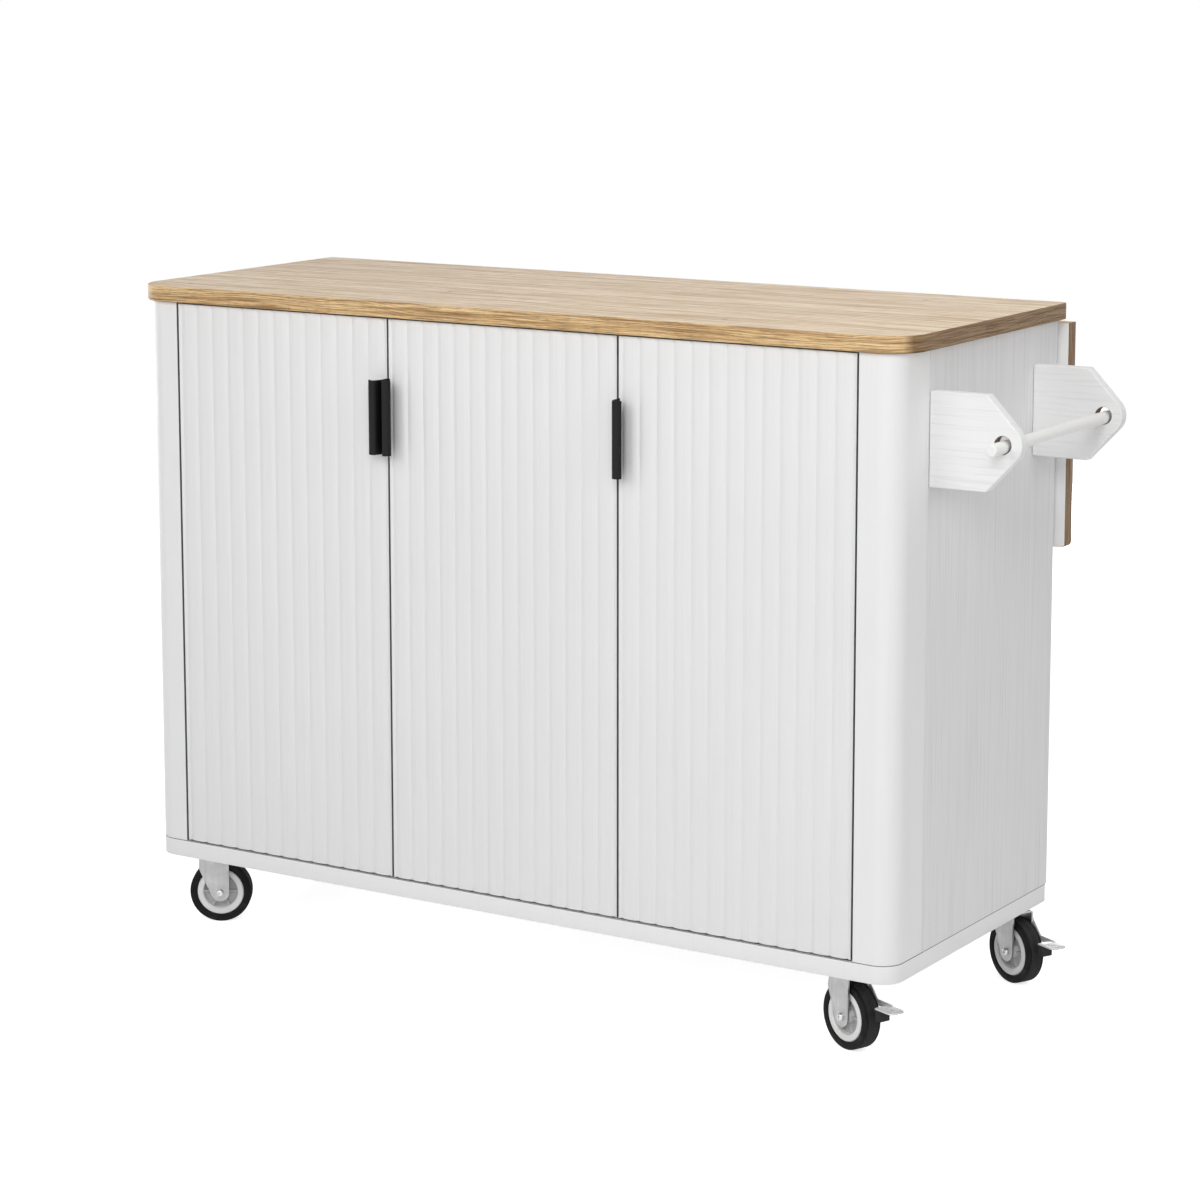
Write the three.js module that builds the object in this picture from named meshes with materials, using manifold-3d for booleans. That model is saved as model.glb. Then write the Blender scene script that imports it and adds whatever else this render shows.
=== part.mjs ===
// Drop leaf kitchen island on casters: a white cabinet with three reeded doors, an oak worktop,
// a folding oak leaf on two steel brackets behind it, and a towel rod on two plates at the right.
// Millimetres, +Z up, +X to the right and +Y to the back of the cabinet.
import * as THREE from "three";
import { mergeVertices } from "three/addons/utils/BufferGeometryUtils.js";
import Module from "manifold-3d";

const wasm = await Module();
wasm.setup();

// ---------------------------------------------------------------- driving dimensions

// clearances
const SEAT_GAP = 0.3; // between pieces that rest on or are screwed to each other
const PIN_PLAY = 0.4; // radial play of a hole on its pin

// worktop
const WORKTOP_LENGTH = 1200;
const WORKTOP_DEPTH = 460;
const WORKTOP_THICKNESS = 22;
const WORKTOP_FRONT_RADIUS = 40;
const WORKTOP_BACK_RADIUS = 8;
const WORKTOP_EDGE_ROUND = 1.5;

// cabinet
const SIDE_OVERHANG = 15; // worktop past the cabinet side
const FRONT_OVERHANG = 8;
const BACK_STANDOUT = 1; // cabinet past the worktop's rear edge
const CABINET_HEIGHT = 766; // from the base board to the worktop
const BASE_THICKNESS = 24;
const BASE_BACK_RADIUS = 5;
const BOARD = 16; // side panels, divider, shelves and rails
const BACK_BOARD = 6;
const BACK_RECESS = 21; // back panel set in from the rear edges of the sides
const POST_WIDTH = 55;
const POST_DEPTH = 82;
const POST_RADIUS = 30;
const FRAME_SETBACK = 30; // divider and front rail behind the door fronts
const FRONT_RAIL_DEPTH = 50;
const REAR_RAIL_DEPTH = 60;
const SHELF_HEIGHT = 376; // underside of the shelves above the base board
const SHELF_PIN_RADIUS = 3;
const SHELF_PIN_LENGTH = 8;
const SHELF_PIN_INSET = 34; // from the shelf's front and rear edges
const SHELF_END_PLAY = 1;

// doors
const DOOR_THICKNESS = 18;
const DOOR_GAP = 2.5; // between doors and beside the posts
const DOOR_TOP_GAP = 2;
const DOOR_EDGE_ROUND = 3;
const DOOR_FLAT_MARGIN = 5;
const LEFT_DOOR_PITCH = 357.5; // left post to the joint of the double doors
const MIDDLE_DOOR_PITCH = 358.5; // that joint to the joint over the divider
const REED_PITCH = 25.6;
const REED_DEPTH = 1.5;
const REED_FACETS = 4;

// door handles: bent tabs round the door edge
const HANDLE_LENGTH = 100;
const HANDLE_DROP = 80; // top of the handle below the top of the door
const HANDLE_METAL = 1.5;
const HANDLE_REACH = 25; // in front of the door
const HANDLE_HOOK = 15; // how far the front curls over the door
const HANDLE_HOOK_RETURN = 7;
const HANDLE_STRAIGHT = 8;
const HANDLE_BACK_FLANGE = 20;
const HANDLE_CURL = 9; // where the front starts to turn back towards the door
const HANDLE_SCREW_INSET = 20; // from the ends of the handle
const HANDLE_SCREW_REACH = 12; // from the door edge

// concealed door hinges, one pin each
const HINGE_CUP_RADIUS = 17.5;
const HINGE_CUP_EDGE = 5; // cup to door edge
const HINGE_CUP_DEPTH = 14;
const HINGE_CUP_WALL = 1;
const HINGE_AXIS_INSET = 17; // pin from the door edge
const HINGE_AXIS_DEPTH = 9; // pin behind the door front
const HINGE_PIN_RADIUS = 2;
const HINGE_EYE_RADIUS = 3.6;
const HINGE_ARM_METAL = 2.5;
const HINGE_ARM_WIDTH = 12;
const HINGE_ARM_SWEEP = 23; // radius at which the arm goes round the door edge
const HINGE_ARM_LEAN = 33; // degrees at which the arm leaves the pin
const HINGE_ARM_BEND = 15; // degrees between the corners of its bend
const HINGE_PLATE_LENGTH = 44;
const HINGE_PLATE_WIDTH = 46;
const HINGE_PLATE_METAL = 2;
const HINGE_SCREW_SPACING = 30;
const HINGE_SCREW_INSET = 24; // from the plate's front edge
const HINGE_FROM_END = 95; // hinge centre from the top or bottom of the door

// drop leaf and its folding brackets
const LEAF_WIDTH = 300;
const LEAF_GAP = 1; // between worktop and raised leaf
const LEAF_CORNER_RADIUS = 6;
const LEAF_AXIS_DROP = 4.5; // axis below the worktop's underside
const LEAF_AXIS_INSET = 0.5; // axis in front of the worktop's rear edge
const BRACKET_SPACING = 760; // between the two brackets
const BRACKET_METAL = 2.5;
const BRACKET_INNER = 21; // between the ears of the wall plate
const BRACKET_PLATE_WIDTH = 34;
const BRACKET_PIN_RADIUS = 2;
const BRACKET_EAR_RADIUS = 4;
const BRACKET_GUSSET = 9; // slope of the ears below the leaf pin
const BRACKET_FOOT = 30; // plate below the ears
const BRACE_DROP = 90; // brace pin below the leaf axis
const BRACE_LENGTH = 140;
const BRACE_WIDTH = 10;
const BRACE_METAL = 5;
const BRACE_ROLLER_RADIUS = 2.5;
const BRACE_EYE_RADIUS = 3.5;
const ARM_LENGTH = 242;
const ARM_WIDTH = 19;
const ARM_METAL = 2;
const ARM_FLANGE = 9.9; // depth of the arm's flanges under its web
const ARM_SCREWS = [72, 150, 228]; // below the leaf axis

// towel rod and its plates
const TOWEL_PLATE_THICKNESS = 16;
const TOWEL_PLATE_HEIGHT = 120;
const TOWEL_PLATE_TOP_DROP = 53; // below the worktop's underside
const TOWEL_PLATE_FLAT = 77; // straight part out from the cabinet side
const TOWEL_HOLE_REACH = 99; // hole from the cabinet side
const TOWEL_HOLE_RADIUS = 11;
const TOWEL_TIP_RADIUS = 25.5;
const TOWEL_FRONT_PLATE = 90; // front plate's face behind the worktop's front edge
const TOWEL_PLATE_SPACING = 298.5;
const TOWEL_ROD_RADIUS = 8;
const TOWEL_ROD_STICK_OUT = 33; // past the outer face of each plate
const TOWEL_ROD_CHAMFER = 1.5;

// casters
const CASTER_FRONT_LEFT = { fromSide: 47, fromFront: 57 }; // swivel axes from the cabinet's faces
const CASTER_FRONT_RIGHT = { fromSide: 98, fromFront: 58 };
const CASTER_REAR = { fromSide: 40, fromBack: 32 };
const CASTER_TRAIL = 18; // axle behind the swivel axis
const CASTER_PLATE_SIZE = 60;
const CASTER_PLATE_METAL = 2.5;
const CASTER_PLATE_CORNER = 5;
const CASTER_BOLT_INSET = 9; // plate bolts from the edges of the plate
const CASTER_RACE_HEIGHT = 3.5;
const CASTER_RACE_RADIUS = 20;
const CASTER_RACE_TAPER = 3;
const CASTER_CROWN_METAL = 3;
const CASTER_CROWN_GAP = 8.4; // tyre to crown
const KINGPIN_RADIUS = 4;
const KINGPIN_HEAD_RADIUS = 7;
const KINGPIN_HEAD_HEIGHT = 2.5;
const WHEEL_RADIUS = 44;
const WHEEL_WIDTH = 25;
const TYRE_THICKNESS = 10.5;
const TYRE_SHOULDER = 3;
const TYRE_SIDE_DISH = 1; // tyre's side falls back towards the hub
const HUB_RIM = 9.5;
const HUB_RIM_BEVEL = 1.5;
const HUB_RIM_SETBACK = 0.5; // rim behind the tyre's side
const HUB_WEB = 6;
const HUB_BOSS_RADIUS = 9.5;
const HUB_RIBS = 6;
const HUB_RIB_METAL = 2.6;
const HUB_RIB_REACH = 8.4; // to each side of the wheel's middle
const FORK_METAL = 2.5;
const FORK_SIDE_PLAY = 2.5; // wheel to fork leg
const FORK_END_RADIUS = 13;
const FORK_LEG_LEAD = 30; // leading edge of the legs before the axle
const FORK_KNEE_HEIGHT = 78; // where that edge starts to slope
const AXLE_RADIUS = 4;
const AXLE_HEAD_RADIUS = 5;
const AXLE_HEAD_HEIGHT = 4;
const AXLE_HEAD_DOME = 1.5;
const BOLT_HEAD_RADIUS = 5;
const BOLT_HEAD_HEIGHT = 3;
const BRAKE_PIVOT_RADIUS = 2.5;
const BRAKE_PIVOT_INSET = 7; // from the trailing edge of the leg
const BRAKE_PIVOT_DROP = 12; // below the crown
const BRAKE_PIVOT_STICK_OUT = 4;
const BRAKE_ARM_METAL = 2;
const BRAKE_ARM_PLAY = 0.7; // leg to arm
const BRAKE_EYE_RADIUS = 5.5;
const BRAKE_ARM_END_RADIUS = 4;
const BRAKE_ELBOW = 20; // bend of the arm behind the pivot
const BRAKE_PEDAL_METAL = 3;
const BRAKE_PEDAL_REACH = 38; // pedal tip past the tyre
const BRAKE_PEDAL_WIDTH = 24;
const BRAKE_PEDAL_CORNER = 7;
const BRAKE_PEDAL_RISE = 20; // pedal above the axle
const BRAKE_PAD_GAP = 6; // pad to tyre, brake off
const BRAKE_PAD_DEPTH = 8;
const BRAKE_PAD_RISE = 5; // lower end of the pad above the axle
const BRAKE_PAD_LEAN = 0.8;
const BRAKE_PAD_WIDTH = 18;

// fasteners
const SCREW_HEAD_RADIUS = 3.5;
const SCREW_HEAD_HEIGHT = 1.2;
const RIVET_HEAD = 1; // rivet end past the metal

// smoothness
const WHEEL_SIDES = 26;
const HUB_SIDES = 18;
const ROD_SIDES = 18;
const HOLE_SIDES = 20;
const ROUND_SIDES = 12;
const PIN_SIDES = 8;
const HEX_SIDES = 6;
const CUP_SIDES = 14;
const TIP_STEPS = 10;
const CORNER_STEPS = 4;
const FINE_CORNER_STEPS = 3;
const TOOL_OVERLAP = 1; // how far a cutting or joining solid runs past the face that it meets

// ---------------------------------------------------------------- sizes worked out from them

const CROWN_UNDERSIDE = 2 * WHEEL_RADIUS + CASTER_CROWN_GAP;
const CROWN_TOP = CROWN_UNDERSIDE + CASTER_CROWN_METAL;
const RACE_UNDERSIDE = CROWN_TOP + SEAT_GAP;
const CASTER_PLATE_UNDERSIDE = RACE_UNDERSIDE + CASTER_RACE_HEIGHT;
const CASTER_PLATE_TOP = CASTER_PLATE_UNDERSIDE + CASTER_PLATE_METAL;
const BASE_UNDERSIDE = CASTER_PLATE_TOP + SEAT_GAP;
const BASE_TOP = BASE_UNDERSIDE + BASE_THICKNESS;
const WORKTOP_UNDERSIDE = BASE_TOP + CABINET_HEIGHT;
const WORKTOP_TOP = WORKTOP_UNDERSIDE + WORKTOP_THICKNESS;

const CABINET_SIDE = WORKTOP_LENGTH / 2 - SIDE_OVERHANG;
const CABINET_FRONT = FRONT_OVERHANG;
const CABINET_BACK = WORKTOP_DEPTH + BACK_STANDOUT;
const SIDE_INNER = CABINET_SIDE - BOARD;
const POST_INNER = CABINET_SIDE - POST_WIDTH;
const POST_BACK = CABINET_FRONT + POST_DEPTH;
const FRAME_FRONT = CABINET_FRONT + FRAME_SETBACK;
const BACK_OUTER = CABINET_BACK - BACK_RECESS;
const BACK_INNER = BACK_OUTER - BACK_BOARD;
const PANEL_BOTTOM = BASE_TOP + SEAT_GAP;
const PANEL_TOP = WORKTOP_UNDERSIDE - SEAT_GAP;
const RAIL_UNDERSIDE = PANEL_TOP - BOARD;

const DOUBLE_JOINT = -POST_INNER + LEFT_DOOR_PITCH;
const DIVIDER_JOINT = DOUBLE_JOINT + MIDDLE_DOOR_PITCH;
const DOOR_BOTTOM = BASE_TOP + DOOR_TOP_GAP;
const DOOR_TOP = WORKTOP_UNDERSIDE - DOOR_TOP_GAP;
const SHELF_UNDERSIDE = BASE_TOP + SHELF_HEIGHT;
const SHELF_FRONT = POST_BACK + SEAT_GAP;
const SHELF_BACK = BACK_INNER - SEAT_GAP;

const LEAF_AXIS_Y = WORKTOP_DEPTH - LEAF_AXIS_INSET;
const LEAF_AXIS_Z = WORKTOP_UNDERSIDE - LEAF_AXIS_DROP;
const LEAF_INNER = LEAF_AXIS_Y + LEAF_AXIS_DROP;
const LEAF_TOP = LEAF_AXIS_Z - (WORKTOP_DEPTH + LEAF_GAP - LEAF_AXIS_Y);
const ARM_WEB_OUTER = LEAF_INNER - SEAT_GAP;
const ARM_WEB_INNER = ARM_WEB_OUTER - ARM_METAL;
const ARM_FLANGE_EDGE = ARM_WEB_INNER - ARM_FLANGE;
const BRACE_AXIS_Y = ARM_FLANGE_EDGE - SEAT_GAP - BRACE_ROLLER_RADIUS;
const BRACE_AXIS_Z = LEAF_AXIS_Z - BRACE_DROP;

// ---------------------------------------------------------------- materials

const paint = (color, roughness, metalness = 0) =>
  new THREE.MeshStandardMaterial({ color, roughness, metalness });

const whiteBoard = paint(0xe4e3e1, 0.6);
const whiteDoor = paint(0xe6e6e5, 0.5);
const oak = paint(0xd8c3a3, 0.55);
const blackMetal = paint(0x18191b, 0.45, 0.4);
const platedSteel = paint(0xb9babb, 0.35, 0.85);
const whiteSteel = paint(0xe2e2e0, 0.45, 0.2);
const rubber = paint(0x1b1b1c, 0.8);
const hubPlastic = paint(0xcfcfce, 0.5);
const whiteRod = paint(0xefeeec, 0.45);

// ---------------------------------------------------------------- solids

// A closed mesh as a solid that can be joined and cut.
function toSolid(geometry) {
  const bare = geometry.clone();
  bare.deleteAttribute("normal");
  bare.deleteAttribute("uv");
  const merged = mergeVertices(bare, 1e-4);
  const position = merged.attributes.position.array;
  const index = merged.index.array;
  const kept = [];
  for (let i = 0; i < index.length; i += 3) {
    const [a, b, c] = [index[i], index[i + 1], index[i + 2]];
    if (a !== b && b !== c && a !== c) kept.push(a, b, c);
  }
  if (signedVolume(position, kept) < 0) {
    for (let i = 0; i < kept.length; i += 3) [kept[i], kept[i + 1]] = [kept[i + 1], kept[i]];
  }
  return new wasm.Manifold(new wasm.Mesh({
    numProp: 3,
    vertProperties: new Float32Array(position),
    triVerts: new Uint32Array(kept),
  }));
}

function signedVolume(position, index) {
  const corner = (i) => new THREE.Vector3(...position.slice(3 * i, 3 * i + 3));
  let volume = 0;
  for (let i = 0; i < index.length; i += 3) {
    volume += corner(index[i]).dot(corner(index[i + 1]).cross(corner(index[i + 2]))) / 6;
  }
  return volume;
}

function toGeometry(solid) {
  const mesh = solid.getMesh();
  const geometry = new THREE.BufferGeometry();
  geometry.setAttribute("position", new THREE.BufferAttribute(mesh.vertProperties, 3));
  geometry.setIndex(new THREE.BufferAttribute(mesh.triVerts, 1));
  geometry.computeVertexNormals();
  return geometry;
}

const join = (...pieces) =>
  toGeometry(pieces.map(toSolid).reduce((whole, piece) => whole.add(piece)));

const cut = (body, ...tools) =>
  toGeometry(tools.map(toSolid).reduce((rest, tool) => rest.subtract(tool), toSolid(body)));

function box(x0, x1, y0, y1, z0, z1) {
  const geometry = new THREE.BoxGeometry(x1 - x0, y1 - y0, z1 - z0);
  return geometry.translate((x0 + x1) / 2, (y0 + y1) / 2, (z0 + z1) / 2);
}

// An outline drawn in (x, y) and raised from z0 to z1.
function prismZ(shape, z0, z1, steps = CORNER_STEPS) {
  const geometry = new THREE.ExtrudeGeometry(shape, {
    depth: z1 - z0, bevelEnabled: false, curveSegments: steps,
  });
  return geometry.translate(0, 0, z0);
}

// An outline drawn in (y, z) and extended from x0 to x1.
function prismX(shape, x0, x1, steps = CORNER_STEPS) {
  const turn = new THREE.Matrix4().set(0, 0, 1, 0, 1, 0, 0, 0, 0, 1, 0, 0, 0, 0, 0, 1);
  return prismZ(shape, x0, x1, steps).applyMatrix4(turn);
}

// An outline drawn in (x, z) and extended from y0 to y1.
function prismY(shape, y0, y1, steps = CORNER_STEPS) {
  return prismZ(shape, -y1, -y0, steps).rotateX(Math.PI / 2);
}

// Round bars along each axis, centred on the two other coordinates.
const barY = (radius, x, z, y0, y1, sides = ROUND_SIDES) =>
  new THREE.CylinderGeometry(radius, radius, y1 - y0, sides).translate(x, (y0 + y1) / 2, z);
const barX = (radius, y, z, x0, x1, sides = ROUND_SIDES) =>
  new THREE.CylinderGeometry(radius, radius, x1 - x0, sides)
    .rotateZ(-Math.PI / 2).translate((x0 + x1) / 2, y, z);
const barZ = (radius, x, y, z0, z1, sides = ROUND_SIDES) =>
  new THREE.CylinderGeometry(radius, radius, z1 - z0, sides)
    .rotateX(Math.PI / 2).translate(x, y, (z0 + z1) / 2);

// A rectangle with its own radius at the front (low y) and at the back corners.
function plateOutline(x0, x1, y0, y1, frontRadius, backRadius) {
  const outline = new THREE.Shape();
  outline.moveTo(x0 + frontRadius, y0);
  outline.absarc(x1 - frontRadius, y0 + frontRadius, frontRadius, -Math.PI / 2, 0);
  outline.absarc(x1 - backRadius, y1 - backRadius, backRadius, 0, Math.PI / 2);
  outline.absarc(x0 + backRadius, y1 - backRadius, backRadius, Math.PI / 2, Math.PI);
  outline.absarc(x0 + frontRadius, y0 + frontRadius, frontRadius, Math.PI, 1.5 * Math.PI);
  return outline;
}

// The outline of a bent strip: a centre line given half the metal to each side.
function stripOutline(centre, metal) {
  const sides = [[], []];
  centre.forEach((point, i) => {
    const before = centre[Math.max(i - 1, 0)];
    const after = centre[Math.min(i + 1, centre.length - 1)];
    const into = new THREE.Vector2().subVectors(point, i > 0 ? before : point);
    const out = new THREE.Vector2().subVectors(i < centre.length - 1 ? after : point, point);
    const heading = into.normalize().add(out.normalize()).normalize();
    const straight = i > 0 ? into : out;
    const mitre = Math.max(Math.abs(heading.dot(straight)), 0.5);
    const normal = new THREE.Vector2(-heading.y, heading.x).multiplyScalar(metal / 2 / mitre);
    sides[0].push(point.clone().add(normal));
    sides[1].unshift(point.clone().sub(normal));
  });
  return new THREE.Shape([...sides[0], ...sides[1]]);
}

// Straight corners of an outline given as [a, b] pairs.
const polygon = (...corners) => new THREE.Shape(corners.map(([a, b]) => new THREE.Vector2(a, b)));

// The outline round two circles, as of a belt: an ear or a link.
function beltOutline(a0, b0, r0, a1, b1, r1) {
  const along = Math.atan2(b1 - b0, a1 - a0);
  const spread = Math.acos((r0 - r1) / Math.hypot(a1 - a0, b1 - b0));
  const outline = new THREE.Shape();
  outline.absarc(a0, b0, r0, along + spread, along - spread + 2 * Math.PI);
  outline.absarc(a1, b1, r1, along - spread, along + spread);
  return outline;
}

const island = new THREE.Group();

function add(name, geometry, material, parent = island) {
  const mesh = new THREE.Mesh(geometry, material);
  mesh.name = name;
  parent.add(mesh);
  return mesh;
}

// ---------------------------------------------------------------- worktop, base and carcass

function worktop() {
  const slab = (inset, z0, z1) => prismZ(plateOutline(
    -WORKTOP_LENGTH / 2 + inset, WORKTOP_LENGTH / 2 - inset, inset, WORKTOP_DEPTH - inset,
    WORKTOP_FRONT_RADIUS - inset, WORKTOP_BACK_RADIUS - inset), z0, z1);
  const lower = WORKTOP_UNDERSIDE + WORKTOP_EDGE_ROUND;
  const upper = WORKTOP_TOP - WORKTOP_EDGE_ROUND;
  return join(
    slab(WORKTOP_EDGE_ROUND / 2, WORKTOP_UNDERSIDE, lower),
    slab(0, lower, upper),
    slab(WORKTOP_EDGE_ROUND / 2, upper, WORKTOP_TOP));
}

function baseBoard() {
  const outline = plateOutline(
    -CABINET_SIDE, CABINET_SIDE, CABINET_FRONT, CABINET_BACK, POST_RADIUS, BASE_BACK_RADIUS);
  return prismZ(outline, BASE_UNDERSIDE, BASE_TOP);
}

// side is -1 for the left post and +1 for the right one
function cornerPost(side) {
  const outline = new THREE.Shape();
  outline.moveTo(POST_INNER, POST_BACK);
  outline.lineTo(POST_INNER, CABINET_FRONT);
  outline.absarc(
    CABINET_SIDE - POST_RADIUS, CABINET_FRONT + POST_RADIUS, POST_RADIUS, -Math.PI / 2, 0);
  outline.lineTo(CABINET_SIDE, POST_BACK);
  const post = prismZ(outline, PANEL_BOTTOM, PANEL_TOP);
  return side > 0 ? post : toGeometry(toSolid(post).mirror([1, 0, 0]));
}

// Shelf pins stand out of an upright face at x, towards direction (-1 or +1).
function shelfPins(x, direction) {
  const root = x - direction;
  const tip = x + direction * SHELF_PIN_LENGTH;
  const height = SHELF_UNDERSIDE - SEAT_GAP - SHELF_PIN_RADIUS;
  return [SHELF_FRONT + SHELF_PIN_INSET, SHELF_BACK - SHELF_PIN_INSET].map((y) =>
    barX(SHELF_PIN_RADIUS, y, height, Math.min(root, tip), Math.max(root, tip), PIN_SIDES));
}

function sidePanel(side) {
  const [inner, outer] = [side * SIDE_INNER, side * CABINET_SIDE];
  const board = box(Math.min(inner, outer), Math.max(inner, outer),
    POST_BACK + SEAT_GAP, CABINET_BACK, PANEL_BOTTOM, PANEL_TOP);
  return join(board, ...shelfPins(inner, -side));
}

function divider() {
  const [left, right] = [DIVIDER_JOINT - BOARD / 2, DIVIDER_JOINT + BOARD / 2];
  const board = box(left, right, FRAME_FRONT, BACK_INNER - SEAT_GAP,
    PANEL_BOTTOM, RAIL_UNDERSIDE - SEAT_GAP);
  return join(board, ...shelfPins(left, -1), ...shelfPins(right, 1));
}

const backPanel = () => box(-SIDE_INNER + SEAT_GAP, SIDE_INNER - SEAT_GAP,
  BACK_INNER, BACK_OUTER, PANEL_BOTTOM, PANEL_TOP);

const frontRail = () => box(-POST_INNER + SEAT_GAP, POST_INNER - SEAT_GAP,
  FRAME_FRONT, FRAME_FRONT + FRONT_RAIL_DEPTH, RAIL_UNDERSIDE, PANEL_TOP);

const rearRail = () => box(-SIDE_INNER + SEAT_GAP, SIDE_INNER - SEAT_GAP,
  BACK_INNER - SEAT_GAP - REAR_RAIL_DEPTH, BACK_INNER - SEAT_GAP, RAIL_UNDERSIDE, PANEL_TOP);

const shelf = (x0, x1) => box(x0 + SHELF_END_PLAY, x1 - SHELF_END_PLAY,
  SHELF_FRONT, SHELF_BACK, SHELF_UNDERSIDE, SHELF_UNDERSIDE + BOARD);

add("worktop", worktop(), oak);
add("base_board", baseBoard(), whiteBoard);
add("left_corner_post", cornerPost(-1), whiteBoard);
add("right_corner_post", cornerPost(1), whiteBoard);
add("left_side_panel", sidePanel(-1), whiteBoard);
add("right_side_panel", sidePanel(1), whiteBoard);
add("divider_panel", divider(), whiteBoard);
add("back_panel", backPanel(), whiteBoard);
add("top_front_rail", frontRail(), whiteBoard);
add("top_rear_rail", rearRail(), whiteBoard);
add("wide_shelf", shelf(-SIDE_INNER, DIVIDER_JOINT - BOARD / 2), whiteBoard);
add("narrow_shelf", shelf(DIVIDER_JOINT + BOARD / 2, SIDE_INNER), whiteBoard);

// ---------------------------------------------------------------- doors

// A door is drawn with its hinge edge at u = 0 and its front face at v = 0, v to the back.
// hingeSide is -1 where the hinges are on the left and +1 where they are on the right.

// The plan of a door: a row of shallow convex reeds between two flat margins.
function doorOutline(width) {
  const reeds = Math.round((width - 2 * DOOR_FLAT_MARGIN) / REED_PITCH);
  const pitch = (width - 2 * DOOR_FLAT_MARGIN) / reeds;
  const outline = new THREE.Shape();
  outline.moveTo(width, DOOR_THICKNESS);
  outline.lineTo(0, DOOR_THICKNESS);
  outline.absarc(DOOR_EDGE_ROUND, DOOR_EDGE_ROUND, DOOR_EDGE_ROUND, Math.PI, 1.5 * Math.PI);
  for (let reed = 0; reed < reeds; reed += 1) {
    for (let facet = 0; facet <= REED_FACETS; facet += 1) {
      if (facet === REED_FACETS && reed < reeds - 1) continue;
      const across = facet / REED_FACETS;
      const crown = 4 * across * (1 - across);
      outline.lineTo(DOOR_FLAT_MARGIN + (reed + across) * pitch, REED_DEPTH * (1 - crown));
    }
  }
  outline.absarc(width - DOOR_EDGE_ROUND, DOOR_EDGE_ROUND, DOOR_EDGE_ROUND,
    -Math.PI / 2, 0);
  return outline;
}

// The plan of a handle, on a door edge at u = 0 with the door at u > 0: it hooks the back of the
// door, passes the edge in a notch and curls forward over the door's front.
function handleCentreLine() {
  const edge = SEAT_GAP + HANDLE_METAL / 2;
  const behind = DOOR_THICKNESS + SEAT_GAP + HANDLE_METAL / 2;
  const front = -HANDLE_REACH + HANDLE_METAL / 2;
  const curl = new THREE.CurvePath();
  curl.add(new THREE.QuadraticBezierCurve(
    new THREE.Vector2(edge, -HANDLE_STRAIGHT),
    new THREE.Vector2(edge + HANDLE_METAL, front),
    new THREE.Vector2(HANDLE_CURL, front)));
  curl.add(new THREE.QuadraticBezierCurve(
    new THREE.Vector2(HANDLE_CURL, front),
    new THREE.Vector2(HANDLE_HOOK, front),
    new THREE.Vector2(HANDLE_HOOK, front + HANDLE_HOOK_RETURN)));
  return [
    new THREE.Vector2(HANDLE_BACK_FLANGE, behind),
    new THREE.Vector2(edge, behind),
    ...curl.getPoints(CORNER_STEPS).filter((point, i, all) => i === 0 || !point.equals(all[i - 1])),
  ];
}

const HANDLE_TOP = DOOR_TOP - HANDLE_DROP;
const HANDLE_BOTTOM = HANDLE_TOP - HANDLE_LENGTH;
const HINGE_HEIGHTS = { upper: DOOR_TOP - HINGE_FROM_END, lower: DOOR_BOTTOM + HINGE_FROM_END };
const HINGE_CUP_CENTRE = HINGE_CUP_EDGE + HINGE_CUP_RADIUS;

function doorHandle() {
  const strip = prismZ(stripOutline(handleCentreLine(), HANDLE_METAL), HANDLE_BOTTOM, HANDLE_TOP);
  const behind = DOOR_THICKNESS + SEAT_GAP + HANDLE_METAL;
  const screws = [HANDLE_BOTTOM + HANDLE_SCREW_INSET, HANDLE_TOP - HANDLE_SCREW_INSET].map((z) =>
    barY(SCREW_HEAD_RADIUS, HANDLE_SCREW_REACH, z,
      behind - HANDLE_METAL / 2, behind + SCREW_HEAD_HEIGHT, PIN_SIDES));
  return join(strip, ...screws);
}

function doorPanel(width) {
  const panel = prismZ(doorOutline(width), DOOR_BOTTOM, DOOR_TOP);
  const past = DOOR_THICKNESS + TOOL_OVERLAP;
  const pockets = Object.values(HINGE_HEIGHTS).map((z) => barY(
    HINGE_CUP_RADIUS + SEAT_GAP, HINGE_CUP_CENTRE, z,
    DOOR_THICKNESS - HINGE_CUP_DEPTH, past, CUP_SIDES));
  const notch = box(width - 2 * SEAT_GAP - HANDLE_METAL, width + TOOL_OVERLAP,
    -TOOL_OVERLAP, past, HANDLE_BOTTOM - SEAT_GAP, HANDLE_TOP + SEAT_GAP);
  return cut(panel, ...pockets, notch);
}

// The cup of a hinge sits in its pocket and carries the pin.
function hingeCup(z) {
  const floor = DOOR_THICKNESS - HINGE_CUP_DEPTH + SEAT_GAP;
  const shell = cut(
    barY(HINGE_CUP_RADIUS, HINGE_CUP_CENTRE, z, floor, DOOR_THICKNESS, CUP_SIDES),
    barY(HINGE_CUP_RADIUS - HINGE_CUP_WALL, HINGE_CUP_CENTRE, z,
      floor + HINGE_CUP_WALL, DOOR_THICKNESS + TOOL_OVERLAP, CUP_SIDES));
  const offset = HINGE_CUP_CENTRE - HINGE_AXIS_INSET;
  const wallMiddle = HINGE_CUP_RADIUS - HINGE_CUP_WALL / 2;
  const reach = Math.sqrt(wallMiddle ** 2 - offset ** 2) - HINGE_CUP_WALL;
  return join(shell,
    barZ(HINGE_PIN_RADIUS, HINGE_AXIS_INSET, HINGE_AXIS_DEPTH, z - reach, z + reach, PIN_SIDES));
}

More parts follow.
